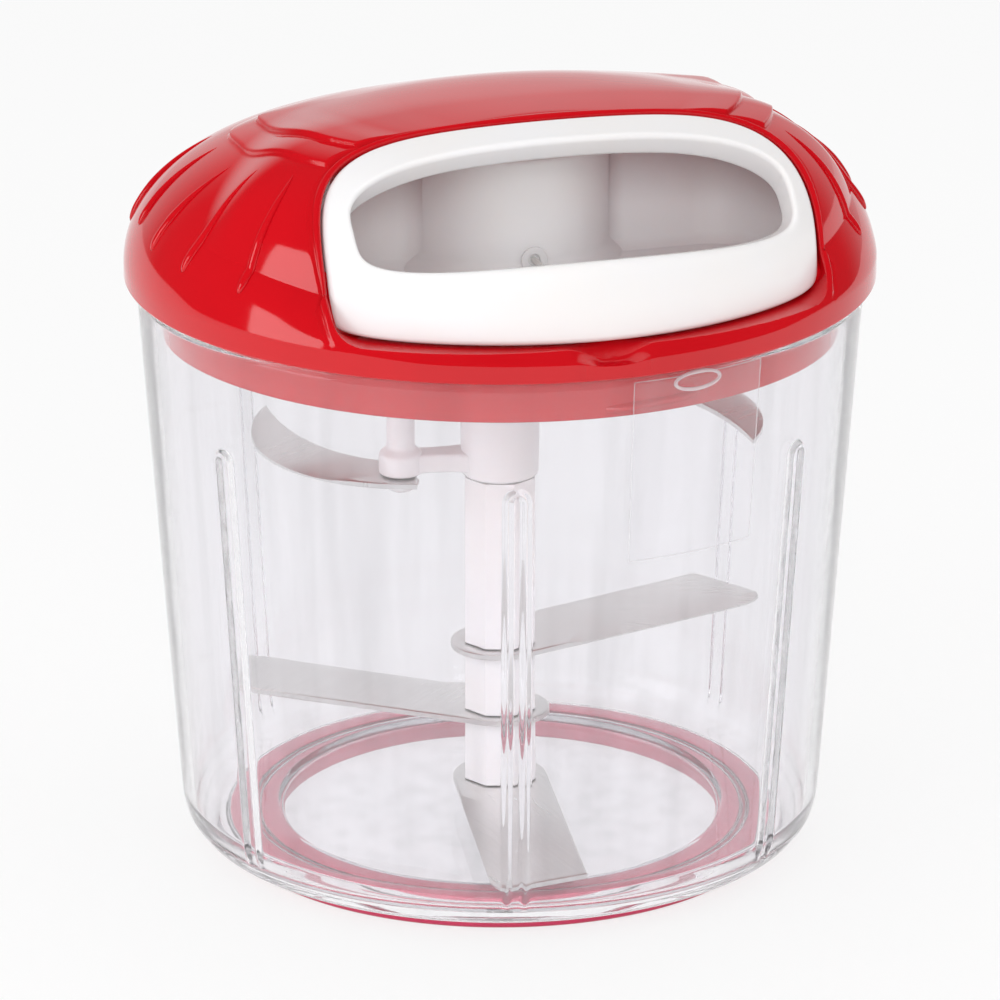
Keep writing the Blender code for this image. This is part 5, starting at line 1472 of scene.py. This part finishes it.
def make_drive():
    """Hidden drive as it is, with softened edges, and a finer axle."""
    moulded = ["drive_coupling", "cord_drum", "spring_cover"]
    pawls = ["pawl_front", "pawl_rear"]
    finish_node(moulded, grey_plastic("drive_grey_finish"))
    finish_node(["power_spring", *pawls], turned_steel("spring_finish"))
    soften(moulded, 0.0003)
    soften(pawls, 0.0002)
    low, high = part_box("drum_axle")
    axle = [(0, low.z), (high.x, low.z), (high.x, high.z), (0, high.z)]
    axle = lathe("axle_fine", axle, 0.0004, 48, closed=False)
    place(axle, "lid", ["drum_axle"], turned_steel("axle_finish"), "pin_steel")


DRUM_CORE_R = 0.0156
CORD_GAP = 0.0003
CORD_EXIT_R = 0.0220
CORD_TURNS = 3
CORD_PITCH = 0.0018


def make_cord():
    """Straight cord run and the turns on the drum."""
    low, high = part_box("cord_run")
    z = (low.z + high.z) / 2
    radius = high.x
    y = np.linspace(high.y, low.y, 90)
    run = np.stack([0 * y, y, 0 * y + z], axis=-1)
    run = sweep("cord_run_fine", run, radius, 20)
    run.data.materials.append(braided_cord("run_fibre", coiled=False))
    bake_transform(run)
    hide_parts("cord_run")
    turn_r = DRUM_CORE_R + radius + CORD_GAP
    end = math.radians(-90) - math.acos(turn_r / CORD_EXIT_R)
    share = np.linspace(0.0, 1.0, 420)
    angle = end - math.tau * CORD_TURNS * (1.0 - share)
    height = z + CORD_TURNS * CORD_PITCH * (0.5 - share)
    wound = np.stack([turn_r * np.cos(angle), turn_r * np.sin(angle), height], axis=-1)
    wound = sweep("cord_winding_fine", wound, radius, 16)
    place(wound, "drum", ["cord_winding"], braided_cord("winding_fibre", coiled=True), "cord_fibre")


# Stage


BACKDROP_WAY = (0.3007, 0.9537, 0.0)
CAMERA_PLACE = (-0.4709, -1.4935, 0.6114)
CAMERA_TURN = (math.radians(71.115), 0, math.radians(-17.5))
# Lamp: name, place, target, size, power, and whether glossy surfaces mirror it
LAMPS = (
    ("key", (-0.9, -0.9, 1.3), (0, 0, 0.1), 0.9, 3, False),
    ("fill", (1.1, -0.6, 0.7), (0, 0, 0.1), 0.9, 2, False),
    ("top", (0.0, 0.3, 1.6), (0, 0, 0.1), 1.2, 4, False),
    ("front", (-0.35, -1.6, 0.75), (0, 0, 0.14), 0.8, 8, False),
    ("side", (-1.5, -0.19, 0.42), (-0.06, -0.045, 0.145), 0.70, 5, True),
)


def make_floor():
    """Pale floor that keeps the shadow and shines faintly to the camera, mirrors and clear walls."""
    reach, level = 4.0, -0.0002
    corners = [(x * reach, y * reach, level) for x, y in ((-1, -1), (1, -1), (1, 1), (-1, 1))]
    mesh = bpy.data.meshes.new("floor")
    mesh.from_pydata(corners, [], [(0, 1, 2, 3)])
    floor = bpy.data.objects.new("floor", mesh)
    bpy.context.collection.objects.link(floor)
    f = Finish("pale_floor")
    lit = f.node("ShaderNodeBsdfDiffuse", sockets={"Color": (0.92, 0.92, 0.92, 1.0)})
    glow = f.node("ShaderNodeEmission", sockets={"Color": (1, 1, 1, 1), "Strength": 1.0})
    seen = f.ray("Is Camera Ray") + f.ray("Is Glossy Ray") + f.ray("Is Transmission Ray")
    share = seen.clamped() * 0.75
    mesh.materials.append(f.show(f.node("ShaderNodeMixShader", sockets={0: share, 1: lit, 2: glow})))


def make_sky():
    """White backdrop to the camera; glossy surfaces mirror it only from behind the chopper."""
    sky = StudioSky()
    way = sky.coords("Generated")
    dot = {"operation": "DOT_PRODUCT"}
    facing = sky.node("ShaderNodeVectorMath", dot, {0: way, 1: BACKDROP_WAY}, "Value")
    studio = facing.between(0.60, 0.98, 0.10, 0.80)
    mirrored = sky.blended(sky.ray("Is Glossy Ray"), 0.64, studio)
    seen = sky.ray("Is Camera Ray")
    seen = seen.math("MAXIMUM", seen, sky.ray("Is Transmission Ray"))
    strength = sky.blended(seen, mirrored, 1.0)
    sky.show(sky.node("ShaderNodeBackground", sockets={"Color": (1, 1, 1, 1), "Strength": strength}))


def make_stage():
    """Floor, backdrop, lamps and camera."""
    make_floor()
    make_sky()
    for lamp in LAMPS:
        add_lamp(*lamp)
    camera_data = bpy.data.cameras.new("camera")
    camera_data.sensor_width = 36
    camera_data.lens = 275.5
    camera_data.clip_end = 50
    camera = bpy.data.objects.new("camera", camera_data)
    camera.location = CAMERA_PLACE
    camera.rotation_euler = CAMERA_TURN
    bpy.context.collection.objects.link(camera)
    bpy.context.scene.camera = camera
    bpy.context.scene.view_settings.view_transform = "Standard"


def add_lamp(name, place, target, size, power, mirrored):
    """Square lamp aimed at a target."""
    data = bpy.data.lights.new(name, "AREA")
    data.size = size
    data.energy = power
    lamp = bpy.data.objects.new(name, data)
    lamp.location = place
    lamp.rotation_euler = (Vector(target) - Vector(place)).to_track_quat("-Z", "Y").to_euler()
    lamp.visible_glossy = mirrored
    bpy.context.collection.objects.link(lamp)


# Operators and panel


class CHOPPER_OT_bowl(bpy.types.Operator):
    """Clear bowl with ribs, film panel and rim mark"""

    bl_idname = "chopper.bowl"
    bl_label = "Bowl"

    def execute(self, context):
        make_bowl()
        return {"FINISHED"}


class CHOPPER_OT_base(bpy.types.Operator):
    """Non-slip ring and steel pivot"""

    bl_idname = "chopper.base"
    bl_label = "Base"

    def execute(self, context):
        make_base()
        return {"FINISHED"}


class CHOPPER_OT_blades(bpy.types.Operator):
    """Three straight and two curved blades"""

    bl_idname = "chopper.blades"
    bl_label = "Blades"

    def execute(self, context):
        make_blades()
        return {"FINISHED"}


class CHOPPER_OT_spindle(bpy.types.Operator):
    """Blade column, spacers, carrier hub, posts and rivets"""

    bl_idname = "chopper.spindle"
    bl_label = "Spindle"

    def execute(self, context):
        make_spindle()
        return {"FINISHED"}


class CHOPPER_OT_dome(bpy.types.Operator):
    """Glossy dome with the opening for the handle"""

    bl_idname = "chopper.dome"
    bl_label = "Lid dome"

    def execute(self, context):
        make_dome()
        return {"FINISHED"}


class CHOPPER_OT_ridges(bpy.types.Operator):
    """Finger ridges on both flanks of the lid"""

    bl_idname = "chopper.ridges"
    bl_label = "Grip ridges"

    def execute(self, context):
        make_ridges()
        return {"FINISHED"}


class CHOPPER_OT_lid_base(bpy.types.Operator):
    """Skirt, deck, lugs and screws under the lid"""

    bl_idname = "chopper.lid_base"
    bl_label = "Lid base"

    def execute(self, context):
        make_lid_base()
        return {"FINISHED"}


class CHOPPER_OT_handle(bpy.types.Operator):
    """White handle with its window"""

    bl_idname = "chopper.handle"
    bl_label = "Pull handle"

    def execute(self, context):
        make_handle()
        return {"FINISHED"}


class CHOPPER_OT_housing(bpy.types.Operator):
    """Mechanism housing, hand pocket and cord eyelet"""

    bl_idname = "chopper.housing"
    bl_label = "Housing"

    def execute(self, context):
        make_housing()
        return {"FINISHED"}


class CHOPPER_OT_drive(bpy.types.Operator):
    """Coupling, drum, spring, pawls and axle"""

    bl_idname = "chopper.drive"
    bl_label = "Drive"

    def execute(self, context):
        make_drive()
        return {"FINISHED"}


class CHOPPER_OT_cord(bpy.types.Operator):
    """Cord run and winding"""

    bl_idname = "chopper.cord"
    bl_label = "Cord"

    def execute(self, context):
        make_cord()
        return {"FINISHED"}


class CHOPPER_OT_stage(bpy.types.Operator):
    """Floor, backdrop, lights and camera"""

    bl_idname = "chopper.stage"
    bl_label = "Stage"

    def execute(self, context):
        make_stage()
        return {"FINISHED"}


class CHOPPER_PT_panel(bpy.types.Panel):
    """Sizes, colours and one button for each group"""

    bl_label = "Food chopper"
    bl_idname = "CHOPPER_PT_panel"
    bl_space_type = "VIEW_3D"
    bl_region_type = "UI"
    bl_category = "Chopper"

    def draw(self, context):
        layout = self.layout
        for group in (context.scene.chopper_sizes, context.scene.chopper_colours):
            column = layout.column(align=True)
            for name in group.__annotations__:
                column.prop(group, name)
        for item in GROUPS:
            layout.operator(item.bl_idname)


GROUPS = (
    CHOPPER_OT_bowl,
    CHOPPER_OT_base,
    CHOPPER_OT_blades,
    CHOPPER_OT_spindle,
    CHOPPER_OT_dome,
    CHOPPER_OT_ridges,
    CHOPPER_OT_lid_base,
    CHOPPER_OT_handle,
    CHOPPER_OT_housing,
    CHOPPER_OT_drive,
    CHOPPER_OT_cord,
    CHOPPER_OT_stage,
)
CLASSES = (ChopperColours, ChopperSizes, *GROUPS, CHOPPER_PT_panel)


def register():
    """Add the classes and the two groups of settings."""
    for item in CLASSES:
        bpy.utils.register_class(item)
    bpy.types.Scene.chopper_colours = bpy.props.PointerProperty(type=ChopperColours)
    bpy.types.Scene.chopper_sizes = bpy.props.PointerProperty(type=ChopperSizes)


def unregister():
    """Take them out again in the opposite order."""
    del bpy.types.Scene.chopper_sizes
    del bpy.types.Scene.chopper_colours
    for item in reversed(CLASSES):
        bpy.utils.unregister_class(item)


def main():
    """Build everything."""
    register()
    for item in GROUPS:
        getattr(bpy.ops.chopper, item.bl_idname.split(".")[1])()


if __name__ == "__main__":
    main()
